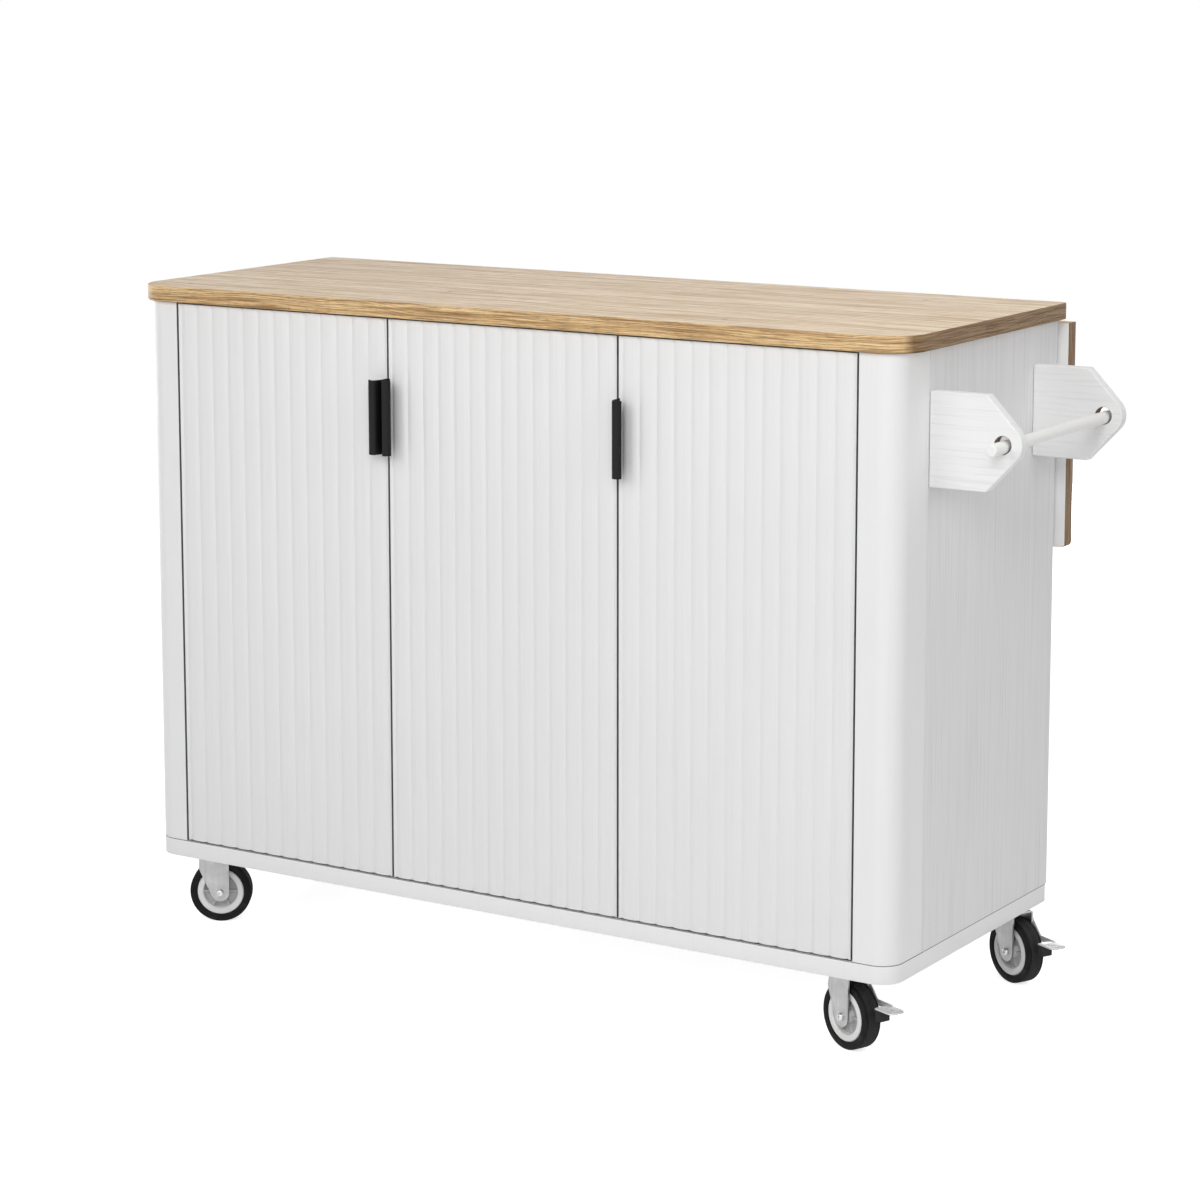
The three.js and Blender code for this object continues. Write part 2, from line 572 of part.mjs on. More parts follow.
// The arm of a hinge: an eye on the pin, a hook round the path of the door's edge, and a plate
// on the upright at u = mountFace.
function hingeArm(z, mountFace) {
  const [pinU, pinV] = [HINGE_AXIS_INSET, HINGE_AXIS_DEPTH];
  const around = (degrees, radius) => {
    const angle = THREE.MathUtils.degToRad(degrees);
    return new THREE.Vector2(pinU + radius * Math.cos(angle), pinV + radius * Math.sin(angle));
  };
  const plateFace = mountFace + SEAT_GAP + HINGE_PLATE_METAL;
  const bend = (corner) => around(HINGE_ARM_LEAN + corner * HINGE_ARM_BEND, HINGE_ARM_SWEEP);
  const hook = [
    around(HINGE_ARM_LEAN, HINGE_PIN_RADIUS + PIN_PLAY),
    around(HINGE_ARM_LEAN, HINGE_ARM_SWEEP - HINGE_ARM_METAL), bend(1), bend(2), bend(3),
    new THREE.Vector2(plateFace - HINGE_PLATE_METAL / 2, pinV + HINGE_ARM_SWEEP),
  ];
  const half = HINGE_ARM_WIDTH / 2;
  const arm = join(
    prismZ(stripOutline(hook, HINGE_ARM_METAL), z - half, z + half),
    barZ(HINGE_EYE_RADIUS, pinU, pinV, z - half, z + half));
  const bored = cut(arm,
    barZ(HINGE_PIN_RADIUS + PIN_PLAY, pinU, pinV, z - half - TOOL_OVERLAP, z + half + TOOL_OVERLAP));
  const plateFront = pinV + HINGE_ARM_SWEEP - HINGE_ARM_METAL;
  const plate = box(plateFace - HINGE_PLATE_METAL, plateFace, plateFront,
    plateFront + HINGE_PLATE_LENGTH, z - HINGE_PLATE_WIDTH / 2, z + HINGE_PLATE_WIDTH / 2);
  const screws = [-1, 1].map((end) => barX(SCREW_HEAD_RADIUS,
    plateFront + HINGE_SCREW_INSET, z + (end * HINGE_SCREW_SPACING) / 2,
    plateFace - HINGE_PLATE_METAL / 2, plateFace + SCREW_HEAD_HEIGHT, PIN_SIDES));
  return join(bored, plate, ...screws);
}

// Moves a piece from door coordinates to its place in the cabinet.
function placeOnDoor(geometry, hingeEdge, hingeSide) {
  const turned = hingeSide < 0 ? geometry : toGeometry(toSolid(geometry).mirror([1, 0, 0]));
  return turned.translate(hingeEdge, CABINET_FRONT, 0);
}

// A handle is drawn at u = 0 and belongs on the free edge, at u = width.
function handleOnFreeEdge(width) {
  return toGeometry(toSolid(doorHandle()).mirror([1, 0, 0])).translate(width, 0, 0);
}

const doors = [
  {
    name: "left_door", hingeSide: -1, left: -POST_INNER + DOOR_GAP,
    right: DOUBLE_JOINT - DOOR_GAP / 2, mountFace: -DOOR_GAP,
  },
  {
    name: "middle_door", hingeSide: 1, left: DOUBLE_JOINT + DOOR_GAP / 2,
    right: DIVIDER_JOINT - DOOR_GAP / 2, mountFace: BOARD / 2 - DOOR_GAP / 2,
  },
  {
    name: "right_door", hingeSide: 1, left: DIVIDER_JOINT + DOOR_GAP / 2,
    right: POST_INNER - DOOR_GAP, mountFace: -DOOR_GAP,
  },
];

for (const { name, hingeSide, left, right, mountFace } of doors) {
  const width = right - left;
  const hingeEdge = hingeSide < 0 ? left : right;
  const place = (geometry) => placeOnDoor(geometry, hingeEdge, hingeSide);
  add(`${name}_panel`, place(doorPanel(width)), whiteDoor);
  add(`${name}_handle`, place(handleOnFreeEdge(width)), blackMetal);
  for (const [end, height] of Object.entries(HINGE_HEIGHTS)) {
    add(`${name}_${end}_hinge_cup`, place(hingeCup(height)), platedSteel);
    add(`${name}_${end}_hinge_arm`, place(hingeArm(height, mountFace)), platedSteel);
  }
}

// ---------------------------------------------------------------- drop leaf

function leafBoard() {
  const outline = new THREE.Shape();
  const [side, bottom] = [WORKTOP_LENGTH / 2, LEAF_TOP - LEAF_WIDTH];
  outline.moveTo(side, LEAF_TOP);
  outline.lineTo(-side, LEAF_TOP);
  outline.absarc(-side + LEAF_CORNER_RADIUS, bottom + LEAF_CORNER_RADIUS, LEAF_CORNER_RADIUS,
    Math.PI, 1.5 * Math.PI);
  outline.absarc(side - LEAF_CORNER_RADIUS, bottom + LEAF_CORNER_RADIUS, LEAF_CORNER_RADIUS,
    -Math.PI / 2, 0);
  return prismY(outline, LEAF_INNER, LEAF_INNER + WORKTOP_THICKNESS, FINE_CORNER_STEPS);
}

// The wall plate of a folding bracket: a back with two ears that carry the leaf and brace pins.
function bracketPlate(x) {
  const back = BACK_OUTER + SEAT_GAP;
  const top = LEAF_AXIS_Z + BRACKET_EAR_RADIUS;
  const bottom = BRACE_AXIS_Z - BRACKET_EAR_RADIUS;
  const earInner = BRACKET_INNER / 2;
  const spine = box(x - BRACKET_PLATE_WIDTH / 2, x + BRACKET_PLATE_WIDTH / 2,
    back, back + BRACKET_METAL, bottom - BRACKET_FOOT, top);
  const profile = new THREE.Shape();
  profile.moveTo(back, top);
  profile.lineTo(back, bottom);
  profile.absarc(BRACE_AXIS_Y, BRACE_AXIS_Z, BRACKET_EAR_RADIUS, -Math.PI / 2, 0);
  profile.lineTo(BRACE_AXIS_Y + BRACKET_EAR_RADIUS, LEAF_AXIS_Z - 2 * BRACKET_GUSSET);
  profile.lineTo(LEAF_AXIS_Y + BRACKET_EAR_RADIUS, LEAF_AXIS_Z - BRACKET_GUSSET);
  profile.absarc(LEAF_AXIS_Y, LEAF_AXIS_Z, BRACKET_EAR_RADIUS, 0, Math.PI / 2);
  const ear = (x0) => prismX(profile, x0, x0 + BRACKET_METAL);
  const pins = [[LEAF_AXIS_Y, LEAF_AXIS_Z], [BRACE_AXIS_Y, BRACE_AXIS_Z]].map(([y, z]) =>
    barX(BRACKET_PIN_RADIUS, y, z, x - earInner - BRACKET_METAL - RIVET_HEAD,
      x + earInner + BRACKET_METAL + RIVET_HEAD, PIN_SIDES));
  const screws = [bottom - BRACKET_FOOT / 2, (LEAF_AXIS_Z + BRACE_AXIS_Z) / 2].map((z) =>
    barY(SCREW_HEAD_RADIUS, x, z,
      back + BRACKET_METAL / 2, back + BRACKET_METAL + SCREW_HEAD_HEIGHT, PIN_SIDES));
  return join(spine, ear(x - earInner - BRACKET_METAL), ear(x + earInner), ...pins, ...screws);
}

// The arm of a folding bracket: a channel under the leaf, open towards the cabinet.
function bracketArm(x) {
  const half = ARM_WIDTH / 2;
  const bottom = LEAF_AXIS_Z - ARM_LENGTH;
  const web = box(x - half, x + half, ARM_WEB_INNER, ARM_WEB_OUTER, bottom, LEAF_AXIS_Z);
  const flange = (x0) => {
    const outline = new THREE.Shape();
    outline.moveTo(ARM_WEB_OUTER, LEAF_AXIS_Z);
    outline.absarc(LEAF_AXIS_Y, LEAF_AXIS_Z, ARM_WEB_OUTER - LEAF_AXIS_Y, 0, Math.PI);
    outline.lineTo(ARM_FLANGE_EDGE, LEAF_AXIS_Z - ARM_FLANGE);
    outline.lineTo(ARM_FLANGE_EDGE, bottom);
    outline.lineTo(ARM_WEB_OUTER, bottom);
    return prismX(outline, x0, x0 + ARM_METAL);
  };
  const channel = join(web, flange(x - half), flange(x + half - ARM_METAL));
  const bored = cut(channel, barX(BRACKET_PIN_RADIUS + PIN_PLAY, LEAF_AXIS_Y, LEAF_AXIS_Z,
    x - half - TOOL_OVERLAP, x + half + TOOL_OVERLAP));
  const screws = ARM_SCREWS.map((drop) => barY(SCREW_HEAD_RADIUS, x,
    LEAF_AXIS_Z - drop, ARM_WEB_INNER - SCREW_HEAD_HEIGHT,
    ARM_WEB_INNER + ARM_METAL / 2, PIN_SIDES));
  return join(bored, ...screws);
}

// The brace hangs on its pin and carries a cross pin that slides along the arm's flanges.
function brace(x) {
  const half = BRACE_WIDTH / 2;
  const end = BRACE_AXIS_Z - BRACE_LENGTH;
  const bar = prismX(beltOutline(BRACE_AXIS_Y, BRACE_AXIS_Z, BRACE_EYE_RADIUS,
    BRACE_AXIS_Y, end, BRACE_METAL / 2), x - half, x + half);
  const bored = cut(bar, barX(BRACKET_PIN_RADIUS + PIN_PLAY / 2, BRACE_AXIS_Y, BRACE_AXIS_Z,
    x - half - TOOL_OVERLAP, x + half + TOOL_OVERLAP));
  return join(bored, barX(BRACE_ROLLER_RADIUS, BRACE_AXIS_Y, end,
    x - ARM_WIDTH / 2, x + ARM_WIDTH / 2));
}

add("leaf_board", leafBoard(), oak);
for (const [side, x] of [["left", -BRACKET_SPACING / 2], ["right", BRACKET_SPACING / 2]]) {
  add(`${side}_leaf_bracket_plate`, bracketPlate(x), whiteSteel);
  add(`${side}_leaf_bracket_arm`, bracketArm(x), whiteSteel);
  add(`${side}_leaf_bracket_brace`, brace(x), whiteSteel);
}

// ---------------------------------------------------------------- towel rod

const TOWEL_HOLE_X = CABINET_SIDE + TOWEL_HOLE_REACH;
const TOWEL_HOLE_Z = WORKTOP_UNDERSIDE - TOWEL_PLATE_TOP_DROP - TOWEL_PLATE_HEIGHT / 2;
const TOWEL_REAR_PLATE = TOWEL_FRONT_PLATE + TOWEL_PLATE_SPACING;

// A five-sided plate that stands out from the side, with a rounded tip round the rod's hole.
function towelPlate(front) {
  const foot = CABINET_SIDE + SEAT_GAP;
  const shoulder = foot + TOWEL_PLATE_FLAT;
  const half = TOWEL_PLATE_HEIGHT / 2;
  const away = Math.hypot(shoulder - TOWEL_HOLE_X, half);
  const towards = Math.atan2(half, shoulder - TOWEL_HOLE_X);
  const touch = towards - Math.acos(TOWEL_TIP_RADIUS / away);
  const outline = new THREE.Shape();
  outline.moveTo(foot, TOWEL_HOLE_Z - half);
  outline.lineTo(shoulder, TOWEL_HOLE_Z - half);
  outline.absarc(TOWEL_HOLE_X, TOWEL_HOLE_Z, TOWEL_TIP_RADIUS, -touch, touch);
  outline.lineTo(shoulder, TOWEL_HOLE_Z + half);
  outline.lineTo(foot, TOWEL_HOLE_Z + half);
  const back = front + TOWEL_PLATE_THICKNESS;
  return cut(prismY(outline, front, back, TIP_STEPS), barY(TOWEL_HOLE_RADIUS, TOWEL_HOLE_X,
    TOWEL_HOLE_Z, front - TOOL_OVERLAP, back + TOOL_OVERLAP, HOLE_SIDES));
}

function towelRod() {
  const height = TOWEL_HOLE_Z - (TOWEL_HOLE_RADIUS - TOWEL_ROD_RADIUS - SEAT_GAP);
  const front = TOWEL_FRONT_PLATE - TOWEL_ROD_STICK_OUT;
  const rear = TOWEL_REAR_PLATE + TOWEL_PLATE_THICKNESS + TOWEL_ROD_STICK_OUT;
  const endRadius = TOWEL_ROD_RADIUS - TOWEL_ROD_CHAMFER;
  const profile = [
    [0, front], [endRadius, front], [TOWEL_ROD_RADIUS, front + TOWEL_ROD_CHAMFER],
    [TOWEL_ROD_RADIUS, rear - TOWEL_ROD_CHAMFER], [endRadius, rear], [0, rear],
  ].map(([radius, y]) => new THREE.Vector2(radius, y));
  return toGeometry(toSolid(new THREE.LatheGeometry(profile, ROD_SIDES)))
    .translate(TOWEL_HOLE_X, 0, height);
}

add("front_towel_plate", towelPlate(TOWEL_FRONT_PLATE), whiteBoard);
add("rear_towel_plate", towelPlate(TOWEL_REAR_PLATE), whiteBoard);
add("towel_rod", towelRod(), whiteRod);

// ---------------------------------------------------------------- casters

// A caster is drawn with its swivel axis on z, the floor at z = 0 and the wheel trailing to +x.
const AXLE = { x: CASTER_TRAIL, z: WHEEL_RADIUS };
const LEG_INNER = WHEEL_WIDTH / 2 + FORK_SIDE_PLAY;
const LEG_OUTER = LEG_INNER + FORK_METAL;
const CROWN_BACK = -CASTER_RACE_RADIUS;
const CROWN_FRONT = AXLE.x + FORK_END_RADIUS;
const BRAKE_PIVOT = { x: CROWN_FRONT - BRAKE_PIVOT_INSET, z: CROWN_UNDERSIDE - BRAKE_PIVOT_DROP };
const FORK_KNEE = { x: AXLE.x - FORK_LEG_LEAD, z: FORK_KNEE_HEIGHT };

function casterPlate() {
  const half = CASTER_PLATE_SIZE / 2;
  const within = CASTER_PLATE_UNDERSIDE + TOOL_OVERLAP;
  const plate = prismZ(
    plateOutline(-half, half, -half, half, CASTER_PLATE_CORNER, CASTER_PLATE_CORNER),
    CASTER_PLATE_UNDERSIDE, CASTER_PLATE_TOP, FINE_CORNER_STEPS);
  const race = new THREE.CylinderGeometry(CASTER_RACE_RADIUS,
    CASTER_RACE_RADIUS - CASTER_RACE_TAPER, within - RACE_UNDERSIDE, CUP_SIDES)
    .rotateX(Math.PI / 2).translate(0, 0, (RACE_UNDERSIDE + within) / 2);
  const headTop = CROWN_UNDERSIDE - SEAT_GAP;
  const kingpin = [
    barZ(KINGPIN_RADIUS, 0, 0, headTop - TOOL_OVERLAP, within),
    barZ(KINGPIN_HEAD_RADIUS, 0, 0, headTop - KINGPIN_HEAD_HEIGHT, headTop, HEX_SIDES),
  ];
  const corner = half - CASTER_BOLT_INSET;
  const bolts = [[-1, -1], [-1, 1], [1, -1], [1, 1]].map(([a, b]) =>
    barZ(BOLT_HEAD_RADIUS, a * corner, b * corner, CASTER_PLATE_UNDERSIDE - BOLT_HEAD_HEIGHT,
      within, HEX_SIDES));
  return join(plate, race, ...kingpin, ...bolts);
}

// The side of a leg: straight down to the knee, then sloping to the round end at the axle.
function forkLegOutline() {
  const [run, rise] = [FORK_KNEE.x - AXLE.x, FORK_KNEE.z - AXLE.z];
  const touch = Math.atan2(rise, run) + Math.acos(FORK_END_RADIUS / Math.hypot(run, rise));
  const outline = new THREE.Shape();
  outline.moveTo(CROWN_FRONT, CROWN_TOP);
  outline.lineTo(FORK_KNEE.x, CROWN_TOP);
  outline.lineTo(FORK_KNEE.x, FORK_KNEE.z);
  outline.absarc(AXLE.x, AXLE.z, FORK_END_RADIUS, touch, 2 * Math.PI);
  return outline;
}

// The domed head of the axle on one side (-1 or +1) of the fork.
function axleHead(side) {
  const inner = LEG_OUTER - TOOL_OVERLAP;
  const rim = LEG_OUTER + AXLE_HEAD_HEIGHT - AXLE_HEAD_DOME;
  const dome = new THREE.CylinderGeometry(
    AXLE_HEAD_RADIUS - AXLE_HEAD_DOME, AXLE_HEAD_RADIUS, AXLE_HEAD_DOME, ROUND_SIDES);
  const head = join(
    new THREE.CylinderGeometry(AXLE_HEAD_RADIUS, AXLE_HEAD_RADIUS, rim - inner, ROUND_SIDES)
      .translate(0, (inner + rim) / 2, 0),
    dome.translate(0, rim + AXLE_HEAD_DOME / 2, 0));
  return head.rotateX(side > 0 ? 0 : Math.PI).translate(AXLE.x, 0, AXLE.z);
}

function casterFork(withBrake) {
  const leg = forkLegOutline();
  const pieces = [
    prismY(leg, -LEG_OUTER, -LEG_INNER),
    prismY(leg, LEG_INNER, LEG_OUTER),
    box(CROWN_BACK, CROWN_FRONT, -LEG_OUTER, LEG_OUTER, CROWN_UNDERSIDE, CROWN_TOP),
    barY(AXLE_RADIUS, AXLE.x, AXLE.z, -LEG_OUTER, LEG_OUTER),
    axleHead(-1),
    axleHead(1),
  ];
  if (withBrake) {
    pieces.push(barY(BRAKE_PIVOT_RADIUS, BRAKE_PIVOT.x, BRAKE_PIVOT.z,
      LEG_OUTER - TOOL_OVERLAP, LEG_OUTER + BRAKE_PIVOT_STICK_OUT));
  }
  return cut(join(...pieces), barZ(KINGPIN_RADIUS + PIN_PLAY, 0, 0,
    CROWN_UNDERSIDE - TOOL_OVERLAP, CROWN_TOP + TOOL_OVERLAP));
}

// A ring turned about the y axis from its section in (radius, y).
function turned(section, sides) {
  const closed = [...section, section[0]].map(([radius, y]) => new THREE.Vector2(radius, y));
  return new THREE.LatheGeometry(closed, sides);
}

function tyre() {
  const [inner, outer, half] = [WHEEL_RADIUS - TYRE_THICKNESS, WHEEL_RADIUS, WHEEL_WIDTH / 2];
  return toGeometry(toSolid(turned([
    [inner, -half + TYRE_SIDE_DISH], [outer - TYRE_SHOULDER, -half],
    [outer, -half + TYRE_SHOULDER], [outer, half - TYRE_SHOULDER],
    [outer - TYRE_SHOULDER, half], [inner, half - TYRE_SIDE_DISH],
  ], WHEEL_SIDES)));
}

function hub() {
  const rim = WHEEL_RADIUS - TYRE_THICKNESS - SEAT_GAP;
  const well = rim - HUB_RIM;
  const slope = well + HUB_RIM_BEVEL;
  const half = WHEEL_WIDTH / 2 - HUB_RIM_SETBACK;
  const [web, bore] = [HUB_WEB / 2, AXLE_RADIUS + PIN_PLAY];
  const boss = LEG_INNER - SEAT_GAP;
  const body = turned([
    [bore, -boss], [HUB_BOSS_RADIUS, -boss], [HUB_BOSS_RADIUS, -web], [well, -web],
    [slope, -half], [rim, -half], [rim, half], [slope, half], [well, web],
    [HUB_BOSS_RADIUS, web], [HUB_BOSS_RADIUS, boss], [bore, boss],
  ], HUB_SIDES);
  const ribs = Array.from({ length: HUB_RIBS }, (_, i) =>
    box(HUB_BOSS_RADIUS - TOOL_OVERLAP, well + TOOL_OVERLAP, -HUB_RIB_REACH, HUB_RIB_REACH,
      -HUB_RIB_METAL / 2, HUB_RIB_METAL / 2).rotateY((2 * Math.PI * i) / HUB_RIBS));
  return join(body, ...ribs);
}

// The brake pedal: a bent arm outside the far leg, a tread plate behind the wheel and a pad
// under it.
function brakePedal() {
  const inner = LEG_OUTER + BRAKE_ARM_PLAY;
  const outer = inner + BRAKE_ARM_METAL;
  const wheelBack = AXLE.x + WHEEL_RADIUS;
  const [padFront, tip] = [wheelBack + BRAKE_PAD_GAP, wheelBack + BRAKE_PEDAL_REACH];
  const tread = AXLE.z + BRAKE_PEDAL_RISE;
  const padEnd = AXLE.z + BRAKE_PAD_RISE;
  const elbow = { x: BRAKE_PIVOT.x + BRAKE_ELBOW, z: tread };
  const upperArm = beltOutline(BRAKE_PIVOT.x, BRAKE_PIVOT.z, BRAKE_EYE_RADIUS,
    elbow.x, elbow.z, BRAKE_ARM_END_RADIUS);
  const lowerArm = plateOutline(elbow.x, padFront + BRAKE_PAD_DEPTH,
    tread - BRAKE_ARM_END_RADIUS, tread + BRAKE_ARM_END_RADIUS, 0, 0);
  const plate = new THREE.Shape();
  plate.moveTo(padFront, outer);
  plate.lineTo(padFront, outer - BRAKE_PEDAL_WIDTH);
  plate.absarc(tip - BRAKE_PEDAL_CORNER, outer - BRAKE_PEDAL_WIDTH + BRAKE_PEDAL_CORNER,
    BRAKE_PEDAL_CORNER, -Math.PI / 2, 0);
  plate.absarc(tip - BRAKE_PEDAL_CORNER, outer - BRAKE_PEDAL_CORNER, BRAKE_PEDAL_CORNER,
    0, Math.PI / 2);
  const pad = polygon([padFront + BRAKE_PAD_LEAN, padEnd], [padFront + BRAKE_PAD_DEPTH, padEnd],
    [padFront + BRAKE_PAD_DEPTH, tread + TOOL_OVERLAP], [padFront, tread + TOOL_OVERLAP]);
  const padSide = outer - BRAKE_PEDAL_WIDTH;
  const pedal = join(
    prismY(upperArm, inner, outer), prismY(lowerArm, inner, outer),
    prismZ(plate, tread, tread + BRAKE_PEDAL_METAL),
    prismY(pad, padSide, padSide + BRAKE_PAD_WIDTH));
  return cut(pedal, barY(BRAKE_PIVOT_RADIUS + PIN_PLAY, BRAKE_PIVOT.x, BRAKE_PIVOT.z,
    inner - TOOL_OVERLAP, outer + TOOL_OVERLAP));
}

// heading is the direction in which the wheel trails, in degrees from +x
const casters = [
  {
    name: "front_left", heading: 31, braked: false,
    x: -CABINET_SIDE + CASTER_FRONT_LEFT.fromSide, y: CABINET_FRONT + CASTER_FRONT_LEFT.fromFront,
  },
  {
    name: "front_right", heading: -23, braked: true,
    x: CABINET_SIDE - CASTER_FRONT_RIGHT.fromSide, y: CABINET_FRONT + CASTER_FRONT_RIGHT.fromFront,
  },
  {
    name: "rear_right", heading: -26, braked: true,
    x: CABINET_SIDE - CASTER_REAR.fromSide, y: CABINET_BACK - CASTER_REAR.fromBack,
  },
  {
    name: "rear_left", heading: 20, braked: false,
    x: -CABINET_SIDE + CASTER_REAR.fromSide, y: CABINET_BACK - CASTER_REAR.fromBack,
  },
];

for (const { name, heading, braked, x, y } of casters) {
  const caster = new THREE.Group();
  caster.position.set(x, y, 0);
  add(`${name}_caster_plate`, casterPlate(), platedSteel, caster);
  const swivel = new THREE.Group();
  swivel.rotation.z = THREE.MathUtils.degToRad(heading);
  add(`${name}_caster_fork`, casterFork(braked), platedSteel, swivel);
  add(`${name}_caster_tyre`, tyre(), rubber, swivel).position.set(AXLE.x, 0, AXLE.z);
  add(`${name}_caster_hub`, hub(), hubPlastic, swivel).position.set(AXLE.x, 0, AXLE.z);
  if (braked) add(`${name}_caster_brake_pedal`, brakePedal(), platedSteel, swivel);
  caster.add(swivel);
  island.add(caster);
}

// ---------------------------------------------------------------- origin

// The origin lies on the floor, in the middle of the island's length and depth.
island.updateMatrixWorld(true);
const reach = new THREE.Box3().setFromObject(island, true);
const middle = reach.getCenter(new THREE.Vector3());
island.position.set(-middle.x, -middle.y, -reach.min.z);

export default island;
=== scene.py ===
# Drop leaf kitchen island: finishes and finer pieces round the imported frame.
# Metres, in the frame's own axes: +X to the right, +Y from the doors to the leaf, +Z up.
from math import acos, atan2, cos, degrees, hypot, pi, radians, sin, sqrt

import bmesh
import bpy
from mathutils import Matrix, Vector


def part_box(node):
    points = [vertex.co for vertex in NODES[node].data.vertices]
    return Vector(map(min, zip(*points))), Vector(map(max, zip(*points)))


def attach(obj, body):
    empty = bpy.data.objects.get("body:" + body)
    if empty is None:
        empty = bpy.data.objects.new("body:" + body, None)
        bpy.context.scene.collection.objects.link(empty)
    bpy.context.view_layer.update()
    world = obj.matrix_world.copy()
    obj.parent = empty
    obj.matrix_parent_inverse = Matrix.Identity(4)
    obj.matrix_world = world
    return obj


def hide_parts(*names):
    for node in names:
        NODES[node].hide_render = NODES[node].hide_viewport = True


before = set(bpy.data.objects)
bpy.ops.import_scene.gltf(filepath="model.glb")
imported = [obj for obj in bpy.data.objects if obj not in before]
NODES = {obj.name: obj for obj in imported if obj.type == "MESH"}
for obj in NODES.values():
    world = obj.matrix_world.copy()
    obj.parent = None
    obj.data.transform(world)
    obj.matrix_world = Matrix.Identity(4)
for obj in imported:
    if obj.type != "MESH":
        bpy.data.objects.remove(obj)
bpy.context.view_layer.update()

# ---- sizes of the finer pieces

FIT_GAP = 0.0003
OVERLAP = 0.0003  # how far the parts of one piece run into each other
OVERCUT = 0.01  # how far a cutting shape reaches past what it cuts
ON_FACE = 0.0005  # a spot this near a face counts as on it
SHARP_ANGLE = 32  # degrees; corners over this stay sharp

BOARD_EDGE = 0.0006  # broken edge of the white boards
OAK_EDGE = 0.0016
LEAF_EDGE = 0.001
HINGE_EDGE = 0.0003
BRACKET_EDGE = 0.0004
TOP_FRONT_RADIUS = 0.05
TOP_BACK_RADIUS = 0.008
POST_RADIUS = 0.03
BASE_BACK_RADIUS = 0.005
LEAF_CORNER_RADIUS = 0.006

REED_PITCH = 0.0256
REED_DEPTH = 0.0021
REED_STEPS = 16
REED_FULLNESS = 3.0  # how square the reeds are: 2 is nearly a plain arc
DOOR_FLAT_MARGIN = 0.005
DOOR_EDGE_ROUND = 0.0015
DOOR_RIM = 0.0008
DOOR_DEPTH = 0.018

HANDLE_METAL = 0.0015
HANDLE_REACH = 0.025
HANDLE_CURVE_END = 0.009  # where the curve from the door's edge meets the hook
HANDLE_HOOK = 0.015
HANDLE_HOOK_RETURN = 0.007
HANDLE_STRAIGHT = 0.008
HANDLE_BACK_FLANGE = 0.02
HANDLE_BEND = 0.0022
HANDLE_EDGE = 0.0005

TOWEL_PLATE_FLAT = 0.077
TOWEL_HOLE_RADIUS = 0.011
TOWEL_PLATE_EDGE = 0.0014
ROD_END_ROUND = 0.0025

TYRE_THICKNESS = 0.0105
WHEEL_WIDTH = 0.025
SHOULDER_IN = 0.0028  # centre of the tyre's round shoulder, in from its side and its tread
SHOULDER_ROUND = 0.0026
TREAD_EDGE = 0.0042  # tread's edge in from the tyre's side
TREAD_RIM_DROP = 0.0007  # how far the rim beside the tread lies under it
TREAD_TEETH = 72
TREAD_DEPTH = 0.0009
TREAD_GROOVE = 0.0011
TREAD_OVER = 0.0004  # the tread's lighter finish, wear and painted sheen, goes this far over its edge
HUB_RIM = 0.0095
HUB_SIDE_IN = 0.0006  # hub's side in from the tyre's
WELL_INSET = 0.0004  # the well's painted shade starts this far past the boss
HUB_BOSS = 0.0095
HUB_BORE = 0.0044
HUB_WEB_HALF = 0.003
HUB_RIBS = 6
HUB_RIB_REACH = 0.0083  # from the wheel's middle, along the axle
HUB_RIB_HALF = 0.0013
HUB_RIB_ROOT = 0.001  # how far a rib runs into the boss and the rim

AXLE_X = 0.018  # behind the swivel axis
AXLE_Z = 0.044
CROWN_UNDERSIDE = 0.0964
CROWN_LIFT = 0.0005  # the pressing's crown above that, against the race
CROWN_BACK = -0.02
LEG_INNER = 0.015
FORK_METAL = 0.0025
FORK_BEND = 0.0045  # radius of the crown's outer bends
FORK_EDGE = 0.0004
FORK_END = 0.013
FORK_LEAD = 0.03  # leading edge before the axle
FORK_KNEE = 0.078
FOLD_LINE = 0.012  # before the axle
FOLD_LEAN = 0.003  # how much nearer the axle the line runs at the crown
FOLD_RUN = 0.02
FOLD_DEPTH = 0.0032  # leading part of the legs, bent inwards
FOLD_DEPTH_BY_TYRE = 0.0014
FOLD_CREASE = (0.002, 0.0006)  # run and depth of the first, steeper part of the fold
TYRE_CLEAR = (0.076, 0.012)  # height where the deeper fold starts, and the rise it takes
KINGPIN_HOLE = 0.0044
AXLE_HEAD = 0.005
AXLE_HEAD_HEIGHT = 0.004
HEAD_DIMPLE = 0.0022  # depth of the round dimple, and of the head's rounding
HEAD_SEAT = 0.0004  # how far the head lies in the leg
AXLE_SHANK = 0.004
THREAD_END = 0.0029
NUT_HEIGHT = 0.003
NUT_EDGE = 0.0004
PLATE_HALF = 0.03
PLATE_CORNER = 0.005
PLATE_UNDERSIDE = 0.1032
PLATE_TOP = 0.1057
PLATE_EDGE = 0.0006
BOLT_INSET = 0.009
WASHER_RADIUS = 0.005
WASHER_METAL = 0.0008
BOLT_RADIUS = 0.0045
BOLT_HEIGHT = 0.003
BRAKE_PIVOT = (0.024, 0.0844)
BRAKE_EYE = 0.0055
BRAKE_LUG = 0.0025
BRAKE_ARM_HALF = 0.004
BRAKE_ARM_INNER = 0.0182
BRAKE_ARM_METAL = 0.002
BRAKE_ELBOW = 0.02
BRAKE_TREAD_Z = 0.064
BRAKE_TREAD_METAL = 0.003
BRAKE_TREAD_WIDTH = 0.024
BRAKE_TREAD_CORNER = 0.007
BRAKE_TREAD_TIP = 0.1
BRAKE_RIBS = 4
BRAKE_RIB_PITCH = 0.0055
BRAKE_RIB_INSET = 0.006
BRAKE_RIB_HALF = 0.0009
BRAKE_PAD_START = 0.068
BRAKE_PAD_END_Z = 0.049
BRAKE_PAD_DEPTH = 0.008
BRAKE_PAD_WIDTH = 0.018
BRAKE_PAD_EDGE = 0.0008

# ---- outlines and meshes


